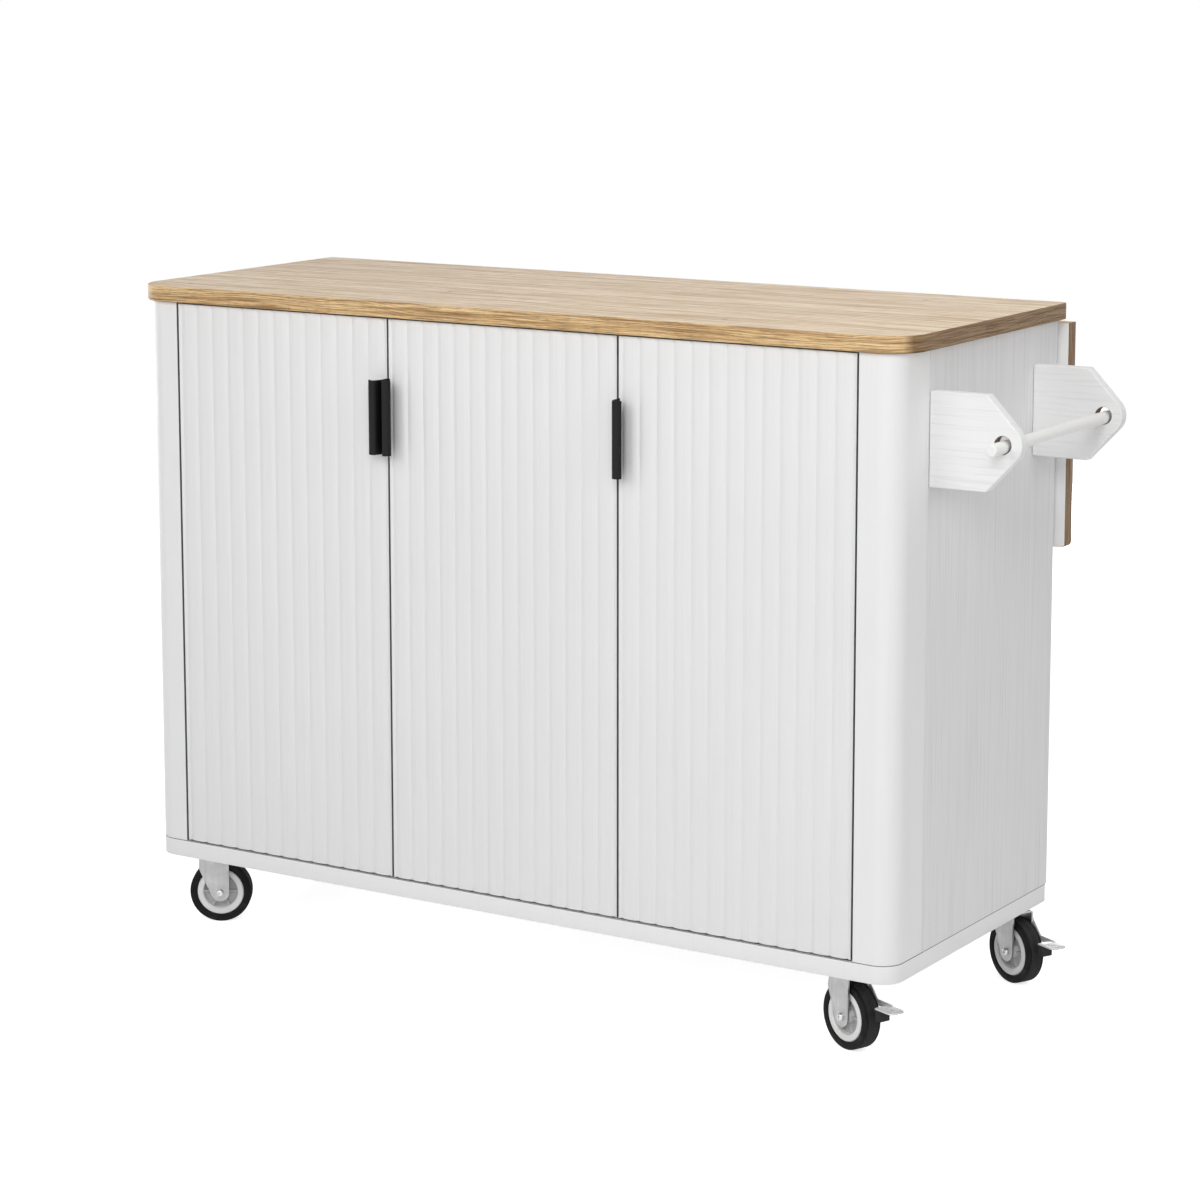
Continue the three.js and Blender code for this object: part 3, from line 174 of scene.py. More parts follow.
def arc(u, v, radius, start, end, steps):
    """Points on an arc round (u, v) from one angle to another, in degrees."""
    turn = [radians(start + (end - start) * i / steps) for i in range(steps + 1)]
    return [(u + radius * cos(a), v + radius * sin(a)) for a in turn]


def circle(u, v, radius, steps):
    return arc(u, v, radius, 0, 360, steps)[:-1]


def board_outline(low, high, front, back, steps=16):
    """A board's plan, anticlockwise, with one radius at the front corners and one at the back."""
    return [
        *arc(high.x - front, low.y + front, front, -90, 0, steps),
        *arc(high.x - back, high.y - back, back, 0, 90, steps),
        *arc(low.x + back, high.y - back, back, 90, 180, steps),
        *arc(low.x + front, low.y + front, front, 180, 270, steps),
    ]


def belt(u0, v0, r0, u1, v1, r1, steps=12):
    """The outline round two circles, as of a link, anticlockwise."""
    along = degrees(atan2(v1 - v0, u1 - u0))
    spread = degrees(acos((r0 - r1) / hypot(u1 - u0, v1 - v0)))
    return [
        *arc(u0, v0, r0, along + spread, along + 360 - spread, steps),
        *arc(u1, v1, r1, along - spread, along + spread, steps),
    ]


def inset(outline, distance):
    """A closed anticlockwise outline, moved inwards."""
    moved = []
    for i, point in enumerate(outline):
        into = Vector(point) - Vector(outline[i - 1])
        out = Vector(outline[(i + 1) % len(outline)]) - Vector(point)
        normals = [Vector((-d.y, d.x)).normalized() for d in (into, out)]
        middle = (normals[0] + normals[1]).normalized()
        mitre = max(middle.dot(normals[0]), 0.4)
        moved.append(tuple(Vector(point) + middle * (distance / mitre)))
    return moved


def shade(mesh, sharp=SHARP_ANGLE):
    """Shades a mesh smoothly, except at corners over sharp degrees."""
    mesh.shade_smooth()
    mesh.set_sharp_from_angle(angle=radians(sharp))
    return mesh


def to_mesh(bm, sharp=SHARP_ANGLE):
    bmesh.ops.remove_doubles(bm, verts=bm.verts, dist=1e-6)
    bmesh.ops.recalc_face_normals(bm, faces=bm.faces)
    mesh = bpy.data.meshes.new("shape")
    bm.to_mesh(mesh)
    bm.free()
    return shade(mesh, sharp)


def loft(rings, joined=False, closed=True, sharp=SHARP_ANGLE):
    """A skin over rings of points, capped unless joined meets the last with the first.

    Where closed is False, a ring's own last point isn't joined to its first.
    """
    bm = bmesh.new()
    rows = [[bm.verts.new(p) for p in ring] for ring in rings]
    following = rows[1:] + rows[:1] if joined else rows[1:]
    for lower, upper in zip(rows, following):
        for i in range(len(lower) if closed else len(lower) - 1):
            j = (i + 1) % len(lower)
            bm.faces.new((lower[i], lower[j], upper[j], upper[i]))
    if not joined:
        bm.faces.new(rows[0][::-1])
        bm.faces.new(rows[-1])
    return to_mesh(bm, sharp)


def along_z(u, v, w):
    return (u, v, w)


def along_y(u, v, w):
    return (u, w, v)


def prism(outline, start, end, edge=0.0, along=along_z, steps=3):
    """An outline drawn out from start to end along one axis, with its two rims rounded."""
    turn = [pi / 2 * i / steps for i in range(steps + 1)] if edge else [pi / 2]
    rim = [(edge * (1 - sin(a)), edge * (1 - cos(a))) for a in turn]
    levels = [(pull, start + rise) for pull, rise in rim]
    levels += [(pull, end - rise) for pull, rise in reversed(rim)]
    rings = []
    for pull, level in levels:
        points = inset(outline, pull) if pull else outline
        rings.append([along(u, v, level) for u, v in points])
    return loft(rings)


def block(x0, x1, y0, y1, z0, z1):
    return prism([(x0, y0), (x1, y0), (x1, y1), (x0, y1)], z0, z1)


def at_turn(section, turn):
    """A section in (radius, along y), at one turn about the y axis."""
    return [(r * cos(turn), y, r * sin(turn)) for r, y in section]


def turned(section, sides, closed=True):
    """A section in (radius, along y) turned about the y axis."""
    rings = [at_turn(section, 2 * pi * i / sides) for i in range(sides)]
    return loft(rings, joined=True, closed=closed)


def joined_mesh(meshes):
    bm = bmesh.new()
    for mesh in meshes:
        bm.from_mesh(mesh)
    return to_mesh(bm)


def set_at(mesh, matrix):
    mesh.transform(matrix)
    return mesh


UPRIGHT = Matrix.Rotation(pi / 2, 4, "X")  # turns y to z


def put_in_scene(name, data):
    obj = bpy.data.objects.new(name, data)
    bpy.context.scene.collection.objects.link(obj)
    return obj


def cut(body, tools):
    """A mesh with others cut out of it."""
    work = put_in_scene("work", body)
    helpers = [put_in_scene("tool", tool) for tool in tools]
    for helper in helpers:
        step = work.modifiers.new("cut", "BOOLEAN")
        step.solver = "EXACT"
        step.object = helper
    graph = bpy.context.evaluated_depsgraph_get()
    result = bpy.data.meshes.new_from_object(work.evaluated_get(graph))
    for used in (work, *helpers):
        bpy.data.objects.remove(used)
    return shade(result)


GRAIN_MAP = "grain"


def lay_grain(mesh, run):
    """Gives each corner its place in the grain: run(position, normal) is (along, across)."""
    layer = mesh.uv_layers.new(name=GRAIN_MAP)
    for face in mesh.polygons:
        for corner in face.loop_indices:
            position = mesh.vertices[mesh.loops[corner].vertex_index].co
            layer.data[corner].uv = run(position, face.normal)
    return mesh


def soften(obj, width, segments=2):
    """Breaks the sharp edges of a piece and keeps its flat faces flat."""
    bevel = obj.modifiers.new("broken edge", "BEVEL")
    bevel.width = width
    bevel.segments = segments
    bevel.limit_method = "ANGLE"
    bevel.angle_limit = radians(35)
    even = obj.modifiers.new("even shading", "WEIGHTED_NORMAL")
    even.keep_sharp = True


def piece(name, mesh, material, body, stands_for=(), place=None):
    """A finer piece: it rides on a body, takes a finish and stands for CAD nodes."""
    mesh.name = name
    mesh.materials.clear()
    mesh.materials.append(material)
    obj = put_in_scene(name, mesh)
    if place is not None:
        obj.matrix_world = place
    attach(obj, body)
    if stands_for:
        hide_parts(*stands_for)
    return obj


def finish_faces(obj, material, chosen):
    """Gives the faces that chosen(centre, normal) picks a finish of their own."""
    obj.data.materials.append(material)
    index = len(obj.data.materials) - 1
    for face in obj.data.polygons:
        if chosen(face.center, face.normal):
            face.material_index = index


# ---- shader nodes


class Nodes:
    """Adds nodes to a material or a node group and links them."""

    def __init__(self, tree):
        self.tree = tree

    def put(self, socket, value):
        if isinstance(value, bpy.types.NodeSocket):
            self.tree.links.new(value, socket)
        else:
            socket.default_value = value

    def fill(self, node, inputs):
        """Puts values and links on a node's inputs, named with _ for each space."""
        for name, value in inputs.items():
            self.put(node.inputs[name.replace("_", " ")], value)

    def add(self, kind, settings=(), **inputs):
        node = self.tree.nodes.new("ShaderNode" + kind)
        for name, value in dict(settings).items():
            setattr(node, name, value)
        self.fill(node, inputs)
        return node

    def group(self, group, **inputs):
        return self.add("Group", {"node_tree": group}, **inputs).outputs

    def math(self, operation, *values, kind="Math"):
        node = self.add(kind, {"operation": operation})
        for socket, value in zip(node.inputs, values):
            self.put(socket, value)
        return node.outputs[0]

    def plus(self, first, second):
        return self.math("ADD", first, second)

    def minus(self, first, second):
        return self.math("SUBTRACT", first, second)

    def times(self, first, second):
        return self.math("MULTIPLY", first, second)

    def stretched(self, vector, scale):
        """A position with each axis scaled by its own number."""
        return self.math("MULTIPLY", vector, scale, kind="VectorMath")

    def span(self, value, low, high, to_low=0.0, to_high=1.0):
        """A value's range from low to high, made into another range."""
        return self.add("MapRange", Value=value, From_Min=low, From_Max=high,
                        To_Min=to_low, To_Max=to_high).outputs[0]

    def blend(self, factor, first, second, how="MIX"):
        node = self.add("Mix", {"data_type": "RGBA", "blend_type": how})
        for index, value in ((0, factor), (6, first), (7, second)):
            self.put(node.inputs[index], value)
        return node.outputs[2]

    def noise(self, vector, scale=1.0, detail=2.0, roughness=0.5):
        node = self.add("TexNoise", Vector=vector, Scale=scale, Detail=detail, Roughness=roughness)
        return node.outputs[0]


def tone(red, green, blue):
    """A colour as seen, 0 to 255 a channel, in the shader's linear values."""
    def linear(channel):
        share = channel / 255
        return share / 12.92 if share <= 0.04045 else ((share + 0.055) / 1.055) ** 2.4
    return (linear(red), linear(green), linear(blue), 1.0)


def grey(level):
    return tone(level, level, level)


def darkened(colour, share):
    return tuple(channel * share for channel in colour[:3]) + (1.0,)


def new_group(name, inputs, outputs):
    """An empty node group with its sockets: {name: socket kind}."""
    group = bpy.data.node_groups.new(name, "ShaderNodeTree")
    for way, sockets in (("INPUT", inputs), ("OUTPUT", outputs)):
        for label, kind in sockets.items():
            group.interface.new_socket(label, in_out=way, socket_type="NodeSocket" + kind)
    given = group.nodes.new("NodeGroupInput").outputs
    made = group.nodes.new("NodeGroupOutput").inputs
    return group, Nodes(group), given, made


# ---- shared surface effects


def make_fibre_group():
    """Long fine lines: wood fibre, printed grain or brushing, by how the position is stretched."""
    group, nodes, given, made = new_group(
        "fibre lines",
        {"Vector": "Vector", "Stretch": "Vector", "Contrast": "Float"},
        {"Lines": "Float"},
    )
    scaled = nodes.stretched(given["Vector"], given["Stretch"])
    lines = nodes.noise(scaled, detail=4.0, roughness=0.62)
    away = nodes.times(nodes.minus(lines, 0.5), given["Contrast"])
    nodes.put(made["Lines"], nodes.plus(away, 0.5))
    return group


def make_drift_group():
    """Slow changes of tone over a surface, and the same changes as a mask."""
    group, nodes, given, made = new_group(
        "tone drift",
        {"Vector": "Vector", "Scale": "Float", "Color": "Color", "Amount": "Float"},
        {"Color": "Color", "Mask": "Float"},
    )
    slow = nodes.noise(given["Vector"], given["Scale"], detail=3.0)
    mask = nodes.span(slow, 0.3, 0.7)
    kept = nodes.minus(1.0, nodes.times(given["Amount"], nodes.minus(1.0, mask)))
    tint = nodes.add("VectorMath", {"operation": "SCALE"}, Vector=given["Color"], Scale=kept)
    nodes.put(made["Color"], tint.outputs[0])
    nodes.put(made["Mask"], mask)
    return group


def make_pebble_group():
    """The fine pebbling of powder coat and moulded plastic."""
    group, nodes, given, made = new_group(
        "pebbling", {"Vector": "Vector", "Scale": "Float"}, {"Height": "Float"}
    )
    cells = nodes.add(
        "TexVoronoi", {"feature": "SMOOTH_F1"}, Vector=given["Vector"], Scale=given["Scale"]
    )
    fine = nodes.noise(given["Vector"], nodes.times(given["Scale"], 2.3))
    nodes.put(made["Height"], nodes.plus(cells.outputs[0], fine))
    return group


def make_figure_group():
    """The growth rings of a flat sawn board whose grain runs along the x axis."""
    group, nodes, given, made = new_group(
        "oak figure",
        {"Vector": "Vector", "Heart": "Float", "Depth": "Float", "Slope": "Float",
         "Rings": "Float"},
        {"Late wood": "Float", "Ring": "Float"},
    )
    axes = nodes.add("SeparateXYZ", Vector=given["Vector"]).outputs
    sway = nodes.noise(nodes.stretched(given["Vector"], (1.1, 3.0, 3.0)))
    ripple = nodes.noise(nodes.stretched(given["Vector"], (6.0, 22.0, 22.0)))
    across = nodes.plus(nodes.minus(axes["Y"], given["Heart"]), nodes.times(sway, 0.22))
    below = nodes.plus(given["Depth"], nodes.times(axes["X"], given["Slope"]))
    below = nodes.plus(nodes.plus(below, axes["Z"]), nodes.times(ripple, 0.012))
    squares = nodes.plus(nodes.times(across, across), nodes.times(below, below))
    rings = nodes.times(nodes.math("SQRT", squares), given["Rings"])
    part = nodes.math("FRACT", rings)
    early = nodes.span(part, 0.0, 0.72)
    late = nodes.span(part, 0.72, 1.0, 1.0, 0.0)
    nodes.put(made["Late wood"], nodes.times(early, late))
    count = nodes.add("CombineXYZ", X=rings).outputs[0]
    nodes.put(made["Ring"], nodes.noise(nodes.stretched(count, (0.37, 1.0, 1.0))))
    return group


FIBRE = make_fibre_group()
DRIFT = make_drift_group()
PEBBLE = make_pebble_group()
FIGURE = make_figure_group()

# ---- finishes

EDGE_BAND_START = 10.0  # across values past this in the grain map belong to edge bands
EDGE_BAND_FINENESS = 2.6  # how much finer the bands' grain is than the faces', across
EDGE_BAND_SHORTNESS = 2.2  # and how much shorter its streaks are
END_BAND_START = 1.3  # along values past this belong to the bands of the ends, darkened partly as painted shade
END_BAND_BLEND = 0.03
BACK_BAND_AT = 4.0  # along value of the back band's middle, past END_BAND_START at both ends
LEAF_END_AT = 2.0  # and of the leaf's end bands


class Finish(Nodes):
    """A material's nodes, with even values on the sockets of its Principled shader."""

    def __init__(self, name, uv_map=None, **even_values):
        self.material = bpy.data.materials.new(name)
        self.material.use_nodes = True
        super().__init__(self.material.node_tree)
        self.shader = self.tree.nodes["Principled BSDF"]
        self.feed(**even_values)
        if uv_map:
            self.place = self.add("UVMap", {"uv_map": uv_map}).outputs[0]
        else:
            self.place = self.add("TexCoord").outputs["Object"]

    def feed(self, **sockets):
        self.fill(self.shader, sockets)

    def lines(self, stretch, contrast, place=None):
        where = self.place if place is None else place
        return self.group(FIBRE, Vector=where, Stretch=stretch, Contrast=contrast)[0]

    def drift(self, colour, scale, amount):
        return self.group(DRIFT, Vector=self.place, Scale=scale, Color=colour, Amount=amount)

    def pebbles(self, scale):
        return self.group(PEBBLE, Vector=self.place, Scale=scale)[0]

    def emboss(self, height, strength, distance):
        bump = self.add("Bump", Height=height, Strength=strength, Distance=distance)
        self.feed(Normal=bump.outputs[0])


def oak_finish():
    """Oiled light oak, laid out by the grain map: pale faces, amber edge bands, and end and back
    bands darkened browner, partly in their grain and partly as painted shade.
    """
    oak = Finish("oak", GRAIN_MAP, Roughness=0.5, IOR=1.45)
    place = oak.place
    axes = oak.add("SeparateXYZ", Vector=place).outputs
    band = oak.math("GREATER_THAN", axes["Y"], EDGE_BAND_START / 2)
    at_end = oak.span(oak.math("ABSOLUTE", axes["X"]), END_BAND_START,
                      END_BAND_START + END_BAND_BLEND)
    figure = oak.group(FIGURE, Vector=place, Heart=-0.13, Depth=0.07, Slope=0.05, Rings=112.0)
    bow = oak.times(oak.noise(oak.stretched(place, (1.3, 5.0, 1.0))), 0.03)
    bowed = oak.math("ADD", place, oak.add("CombineXYZ", Y=bow).outputs[0], kind="VectorMath")
    broad = oak.lines((0.8, 26.0, 1.0), 2.0, bowed)
    streak = oak.lines((2.6, 120.0, 1.0), 3.6, bowed)
    fibre = oak.lines((7.0, 300.0, 1.0), 4.0, bowed)
    pores = oak.lines((30.0, 1000.0, 1.0), 2.8, bowed)
    pale = oak.blend(band, tone(250, 236, 213), tone(246, 214, 162))
    middle = oak.blend(band, tone(241, 219, 188), tone(220, 182, 128))
    dark = oak.blend(band, tone(186, 152, 114), tone(136, 99, 58))
    deep = oak.blend(band, tone(158, 126, 90), tone(92, 66, 38))
    colour = oak.blend(oak.span(broad, 0.2, 0.8), pale, middle)
    late = oak.times(figure["Late wood"], oak.span(figure["Ring"], 0.4, 0.62, 0.1, 0.9))
    colour = oak.blend(late, colour, dark)
    for lines, start, full, most, layer in (
        (streak, 0.55, 1.1, 0.95, dark), (streak, 0.42, -0.1, 0.9, pale),
        (fibre, 0.5, 1.05, 0.9, dark), (pores, 0.62, 0.85, 0.7, deep),
    ):
        colour = oak.blend(oak.span(lines, start, full, 0.0, most), colour, layer)
    # the bands of the ends and back are darkened: partly browner grain, partly painted shade
    end_band_tint_and_shade = oak.blend(oak.times(band, at_end), grey(255), tone(162, 152, 142))
    colour = oak.blend(1.0, colour, end_band_tint_and_shade, "MULTIPLY")
    knots = oak.add(
        "TexVoronoi", {"voronoi_dimensions": "2D"},
        Vector=oak.stretched(place, (2.3, 4.1, 1.0)), Scale=1.0,
    ).outputs["Distance"]
    colour = oak.blend(oak.span(knots, 0.013, 0.006, 0.0, 0.8), colour, tone(110, 82, 56))
    oak.feed(Base_Color=colour, Roughness=oak.span(fibre, 0.2, 0.8, 0.46, 0.6))
    oak.emboss(oak.minus(fibre, oak.times(pores, 0.6)), 0.2, 0.0003)
    return oak.material


def white_board_finish(name, colour, stretch, relief, roughness=0.5):
    """White laminate: stretch gives its grain's run, relief how deep the grain is pressed."""
    board = Finish(name, Roughness=roughness)
    lines = board.lines(stretch, 2.4)
    tint = board.drift(colour, 2.2, 0.03)["Color"]
    pressed = board.span(lines, 0.5, 0.95, 0.0, min(0.9, relief))
    board.feed(Base_Color=board.blend(pressed, tint, darkened(colour, 0.86)),
               Roughness=board.span(lines, 0.2, 0.9, roughness - 0.05, roughness + 0.07))
    board.emboss(lines, min(1.0, 0.35 * relief + 0.05), 0.0005)
    return board.material


def powder_finish(name, colour, scale, roughness, specular=0.5):
    """Powder coated steel with a faint orange peel."""
    coat = Finish(name, Roughness=roughness, Specular_IOR_Level=specular)
    tint = coat.drift(colour, 14.0, 0.12)
    spread = coat.span(tint["Mask"], 0.0, 1.0, roughness - 0.05, roughness + 0.06)
    coat.feed(Base_Color=tint["Color"], Roughness=spread)
    coat.emboss(coat.pebbles(scale), 0.12, 0.0003)
    return coat.material


def moulded_finish(name, colour, roughness=0.45):
    """Moulded plastic with the faint texture of its tool."""
    plastic = Finish(name, Roughness=roughness)
    tint = plastic.drift(colour, 32.0, 0.08)
    spread = plastic.span(tint["Mask"], 0.0, 1.0, roughness - 0.04, roughness + 0.06)
    plastic.feed(Base_Color=tint["Color"], Roughness=spread)
    plastic.emboss(plastic.pebbles(900.0), 0.1, 0.0002)
    return plastic.material


def zinc_finish(name, colour, roughness=0.36, metallic=0.9):
    """Zinc plated pressed steel: drawn lines, cloudy spangle and a soft shine."""
    steel = Finish(name, Metallic=metallic, Roughness=roughness)
    drawn = steel.lines((520.0, 520.0, 14.0), 1.4)
    tint = steel.drift(colour, 55.0, 0.25)["Color"]
    scored = steel.span(drawn, 0.4, 0.9, 0.0, 0.6)
    steel.feed(Base_Color=steel.blend(scored, tint, darkened(colour, 0.72)),
               Roughness=steel.span(drawn, 0.2, 0.8, roughness - 0.06, roughness + 0.1))
    steel.emboss(drawn, 0.12, 0.0002)
    return steel.material


def rubber_finish(name, colour, worn):
    """Black rubber, dusty where it is worn, with faint mould lines."""
    rubber = Finish(name, Roughness=0.7, Specular_IOR_Level=0.18)
    dust = rubber.drift(colour, 60.0, 0.35)
    lines = rubber.lines((60.0, 900.0, 60.0), 1.4)
    scuffed = rubber.span(lines, 0.55, 1.0, 0.0, worn)
    rubber.feed(Base_Color=rubber.blend(scuffed, dust["Color"], grey(74)),
                Roughness=rubber.span(dust["Mask"], 0.0, 1.0, 0.58, 0.78))
    rubber.emboss(lines, 0.15, 0.0003)
    return rubber.material


def painted_shade_finish(name, colour):
    """Painted shade for a narrow gap or arris: a door's edge in its gap, a board's arris against
    the next.
    """
    painted_shade = Finish(name, Roughness=0.8, Specular_IOR_Level=0.2)
    painted_shade.feed(Base_Color=painted_shade.drift(colour, 30.0, 0.3)["Color"])
    return painted_shade.material


def bore_finish():
    """The bare board inside a drilled hole."""
    bore = Finish("bare bore", Roughness=0.8)
    chips = bore.pebbles(700.0)
    bore.feed(Base_Color=bore.blend(
        bore.span(chips, 0.4, 1.2), tone(88, 76, 68), tone(150, 132, 116)))
    bore.emboss(chips, 0.3, 0.0004)
    return bore.material


GRAIN_UPRIGHT = (420.0, 420.0, 5.0)

OAK = oak_finish()
# painted shadow for the dark line under the worktop's front edge
SHADE_UNDER_WORKTOP = painted_shade_finish("painted shade under worktop", tone(84, 84, 86))
# painted shade for the narrow gap between the doors and the base board
SHADE_OVER_BASE = painted_shade_finish("painted shade over base", tone(132, 132, 134))
# painted shade for the gaps round the doors, on the faces inside them
GAP_SHADE = painted_shade_finish("painted shade in door gaps", tone(122, 122, 124))
BARE_BORE = bore_finish()
SMOOTH_WHITE = white_board_finish("smooth white board", grey(236), GRAIN_UPRIGHT, 0.12)
GRAINED_WHITE = white_board_finish(
    "grained white board", tone(229, 229, 230), (300.0, 300.0, 4.0), 0.8)
DOOR_WHITE = white_board_finish("reeded white door", grey(232), GRAIN_UPRIGHT, 0.25, 0.42)
PLATE_WHITE = white_board_finish("towel plate white", grey(238), (9.0, 260.0, 260.0), 0.7)
ROD_WHITE = white_board_finish("rod white", tone(240, 239, 237), (420.0, 6.0, 420.0), 0.2)
BLACK = powder_finish("black powder coat", tone(13, 13, 14), 1500.0, 0.5, 0.22)
WHITE_STEEL = powder_finish("white powder coat", tone(228, 228, 226), 1200.0, 0.4)
ZINC = zinc_finish("zinc plated steel", tone(182, 182, 183))
BOLT_ZINC = zinc_finish("bright zinc", grey(220), 0.26)
PEDAL_GREY = zinc_finish("pedal grey", grey(222), 0.5, 0.35)
# the tread's lighter grey is partly wear and partly a painted sheen
TREAD_WEAR_AND_SHEEN = rubber_finish("tread rubber with wear and painted sheen", tone(56, 56, 57), 0.7)
RUBBER = rubber_finish("tyre rubber", tone(11, 11, 12), 0.35)
PAD_BLACK = rubber_finish("brake pad rubber", tone(50, 50, 51), 0.3)
HUB_GREY = moulded_finish("hub grey", tone(232, 232, 231))
# the hub's well takes a darker grey as painted shade for its recess
HUB_WELL_SHADE = moulded_finish("hub well painted shade", grey(192))

# ---- boards

FACING = 0.9  # a face whose normal reaches this along an axis faces that way
OAK_FACE = 0.8  # an oak face past this has the board's own grain, and below it an edge band's
OAK_END = 0.7  # and an edge past this is the worktop's back or the leaf's end
TOP_LINE_TILT = (-0.97, -0.55)  # normals of the worktop's lower rim, which takes a painted shadow: the dark line under it
BASE_LINE_TILT = (0.2, 0.97)  # and of the base board's upper rim, which takes a painted shade under the doors


def dress_board(node, material, edge=BOARD_EDGE):
    """A CAD solid that stays: its finish and its broken edges."""
    board = NODES[node]
    board.data.materials.clear()
    board.data.materials.append(material)
    soften(board, edge)


def rim_run(place, normal, low, high):
    """Distance along a worktop's rim from the middle of its front, round the front corners."""
    r = TOP_FRONT_RADIUS
    middle = (low.x + high.x) / 2
    flat = (high.x - low.x) / 2 - r
    out = abs(place.x - middle)
    if normal.y > OAK_END:
        return BACK_BAND_AT + place.x
    if out > flat and place.y < low.y + r:
        run = flat + r * atan2(out - flat, low.y + r - place.y)
    elif out > flat:
        run = flat + r * pi / 2 + (place.y - low.y - r)
    else:
        run = out
    return run if place.x >= middle else -run


def make_worktop():
    low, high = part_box("worktop")
    outline = board_outline(low, high, TOP_FRONT_RADIUS, TOP_BACK_RADIUS)
    mesh = prism(outline, low.z, high.z, OAK_EDGE, steps=5)

    def run(position, normal):
        if abs(normal.z) > OAK_FACE:
            return (position.x, position.y)
        across = EDGE_BAND_START + EDGE_BAND_FINENESS * position.z
        return (EDGE_BAND_SHORTNESS * rim_run(position, normal, low, high), across)

    top = piece("oak_worktop", lay_grain(mesh, run), OAK, "cabinet", ["worktop"])
    least, most = TOP_LINE_TILT
    # the worktop's lower rim is painted dark as the shadow it casts on the doors
    finish_faces(top, SHADE_UNDER_WORKTOP, lambda centre, normal: least < normal.z < most)


def make_base():
    low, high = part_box("base_board")
    outline = board_outline(low, high, POST_RADIUS, BASE_BACK_RADIUS)
    mesh = prism(outline, low.z, high.z, BOARD_EDGE)
    base = piece("rounded_base", mesh, SMOOTH_WHITE, "cabinet", ["base_board"])
    least, most = BASE_LINE_TILT
    # the base's upper rim is painted grey: shade in the gap under the doors
    finish_faces(base, SHADE_OVER_BASE, lambda centre, normal: least < normal.z < most)


def make_post(side, outer_sign):
    """A corner post, drawn for the right side and mirrored where outer_sign is -1."""
    node = side + "_corner_post"
    low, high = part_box(node)
    round_to_front = arc(high.x - POST_RADIUS, low.y + POST_RADIUS, POST_RADIUS, -90, 0, 24)
    outline = [(low.x, high.y), (low.x, low.y + DOOR_DEPTH), (low.x, low.y), *round_to_front,
               (high.x, high.y)]
    if outer_sign < 0:
        middle = low.x + high.x
        outline = [(middle - u, v) for u, v in reversed(outline)]
    post = piece(side + "_rounded_post", prism(outline, low.z, high.z), SMOOTH_WHITE, "cabinet",
                 [node])
    # the post's face beside a door's edge is painted grey: shade inside the gap
    finish_faces(post, GAP_SHADE, lambda centre, normal: (
        outer_sign * normal.x < -FACING and centre.y < low.y + DOOR_DEPTH))
    soften(post, BOARD_EDGE)


def make_leaf():
    low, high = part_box("leaf_board")
    r = LEAF_CORNER_RADIUS
    outline = [
        (high.x, high.z), (low.x, high.z),
        *arc(low.x + r, low.z + r, r, 180, 270, 8),
        *arc(high.x - r, low.z + r, r, -90, 0, 8),
    ]
    mesh = prism(outline, low.y, high.y, LEAF_EDGE, along_y)

    def run(position, normal):
        if abs(normal.y) > OAK_FACE:
            return (position.x, position.z)
        along = LEAF_END_AT + position.z if abs(normal.x) > OAK_END else position.x
        return (EDGE_BAND_SHORTNESS * along, EDGE_BAND_START + EDGE_BAND_FINENESS * position.y)

    leaf = piece("oak_leaf", lay_grain(mesh, run), OAK, "leaf", ["leaf_board"])
    finish_faces(leaf, SMOOTH_WHITE, lambda centre, normal: normal.y < -FACING)


# ---- doors


def reeded_outline(low, high):
    """A door's plan, anticlockwise from the back: flat margins and a row of convex reeds."""
    reeded = high.x - low.x - 2 * DOOR_FLAT_MARGIN
    reeds = round(reeded / REED_PITCH)
    r = DOOR_EDGE_ROUND
    front = []
    for i in range(reeds * REED_STEPS + 1):
        from_crown = abs(2 * (i % REED_STEPS) / REED_STEPS - 1)
        front.append((
            low.x + DOOR_FLAT_MARGIN + reeded / reeds * i / REED_STEPS,
            low.y + REED_DEPTH * from_crown ** REED_FULLNESS,
        ))
    return [
        (high.x, high.y), (low.x, high.y),
        *arc(low.x + r, low.y + r, r, 180, 255, 5),
        *front,
        *arc(high.x - r, low.y + r, r, -75, 0, 5),
    ]


def make_door(name, free_side):
    """free_side is +1 where the handle's edge is on the right and -1 where it is on the left."""
    low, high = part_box(name + "_panel")
    handle_low, handle_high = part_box(name + "_handle")
    edge = high.x if free_side > 0 else low.x
    notch = HANDLE_METAL + 2 * FIT_GAP
    ends = sorted((edge - free_side * notch, edge + free_side * OVERCUT))
    tools = [block(*ends, low.y - OVERCUT, high.y + OVERCUT,
                   handle_low.z - FIT_GAP, handle_high.z + FIT_GAP)]
    for end in ("upper", "lower"):
        cup_low, cup_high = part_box(f"{name}_{end}_hinge_cup")
        centre = (cup_low + cup_high) / 2
        pocket = circle(centre.x, centre.z, (cup_high.z - cup_low.z) / 2 + FIT_GAP, 64)
        tools.append(prism(pocket, cup_low.y - FIT_GAP, high.y + OVERCUT, along=along_y))
    panel = prism(reeded_outline(low, high), low.z, high.z, DOOR_RIM)
    door = piece(name + "_reeded", cut(panel, tools), DOOR_WHITE, name,
                 [name + "_panel"])
    # the door's four edges are painted grey: shade inside the gaps round it
    finish_faces(door, GAP_SHADE, lambda centre, normal: (
        (abs(normal.x) > FACING and min(centre.x - low.x, high.x - centre.x) < ON_FACE)
        or (abs(normal.z) > FACING and min(centre.z - low.z, high.z - centre.z) < ON_FACE)))


def quadratic(start, bend, end, steps):
    """Points on a curve from start to end, drawn towards bend."""
    shares = [i / steps for i in range(steps + 1)]
    return [
        tuple((1 - t) ** 2 * a + 2 * t * (1 - t) * b + t * t * c
              for a, b, c in zip(start, bend, end))
        for t in shares
    ]


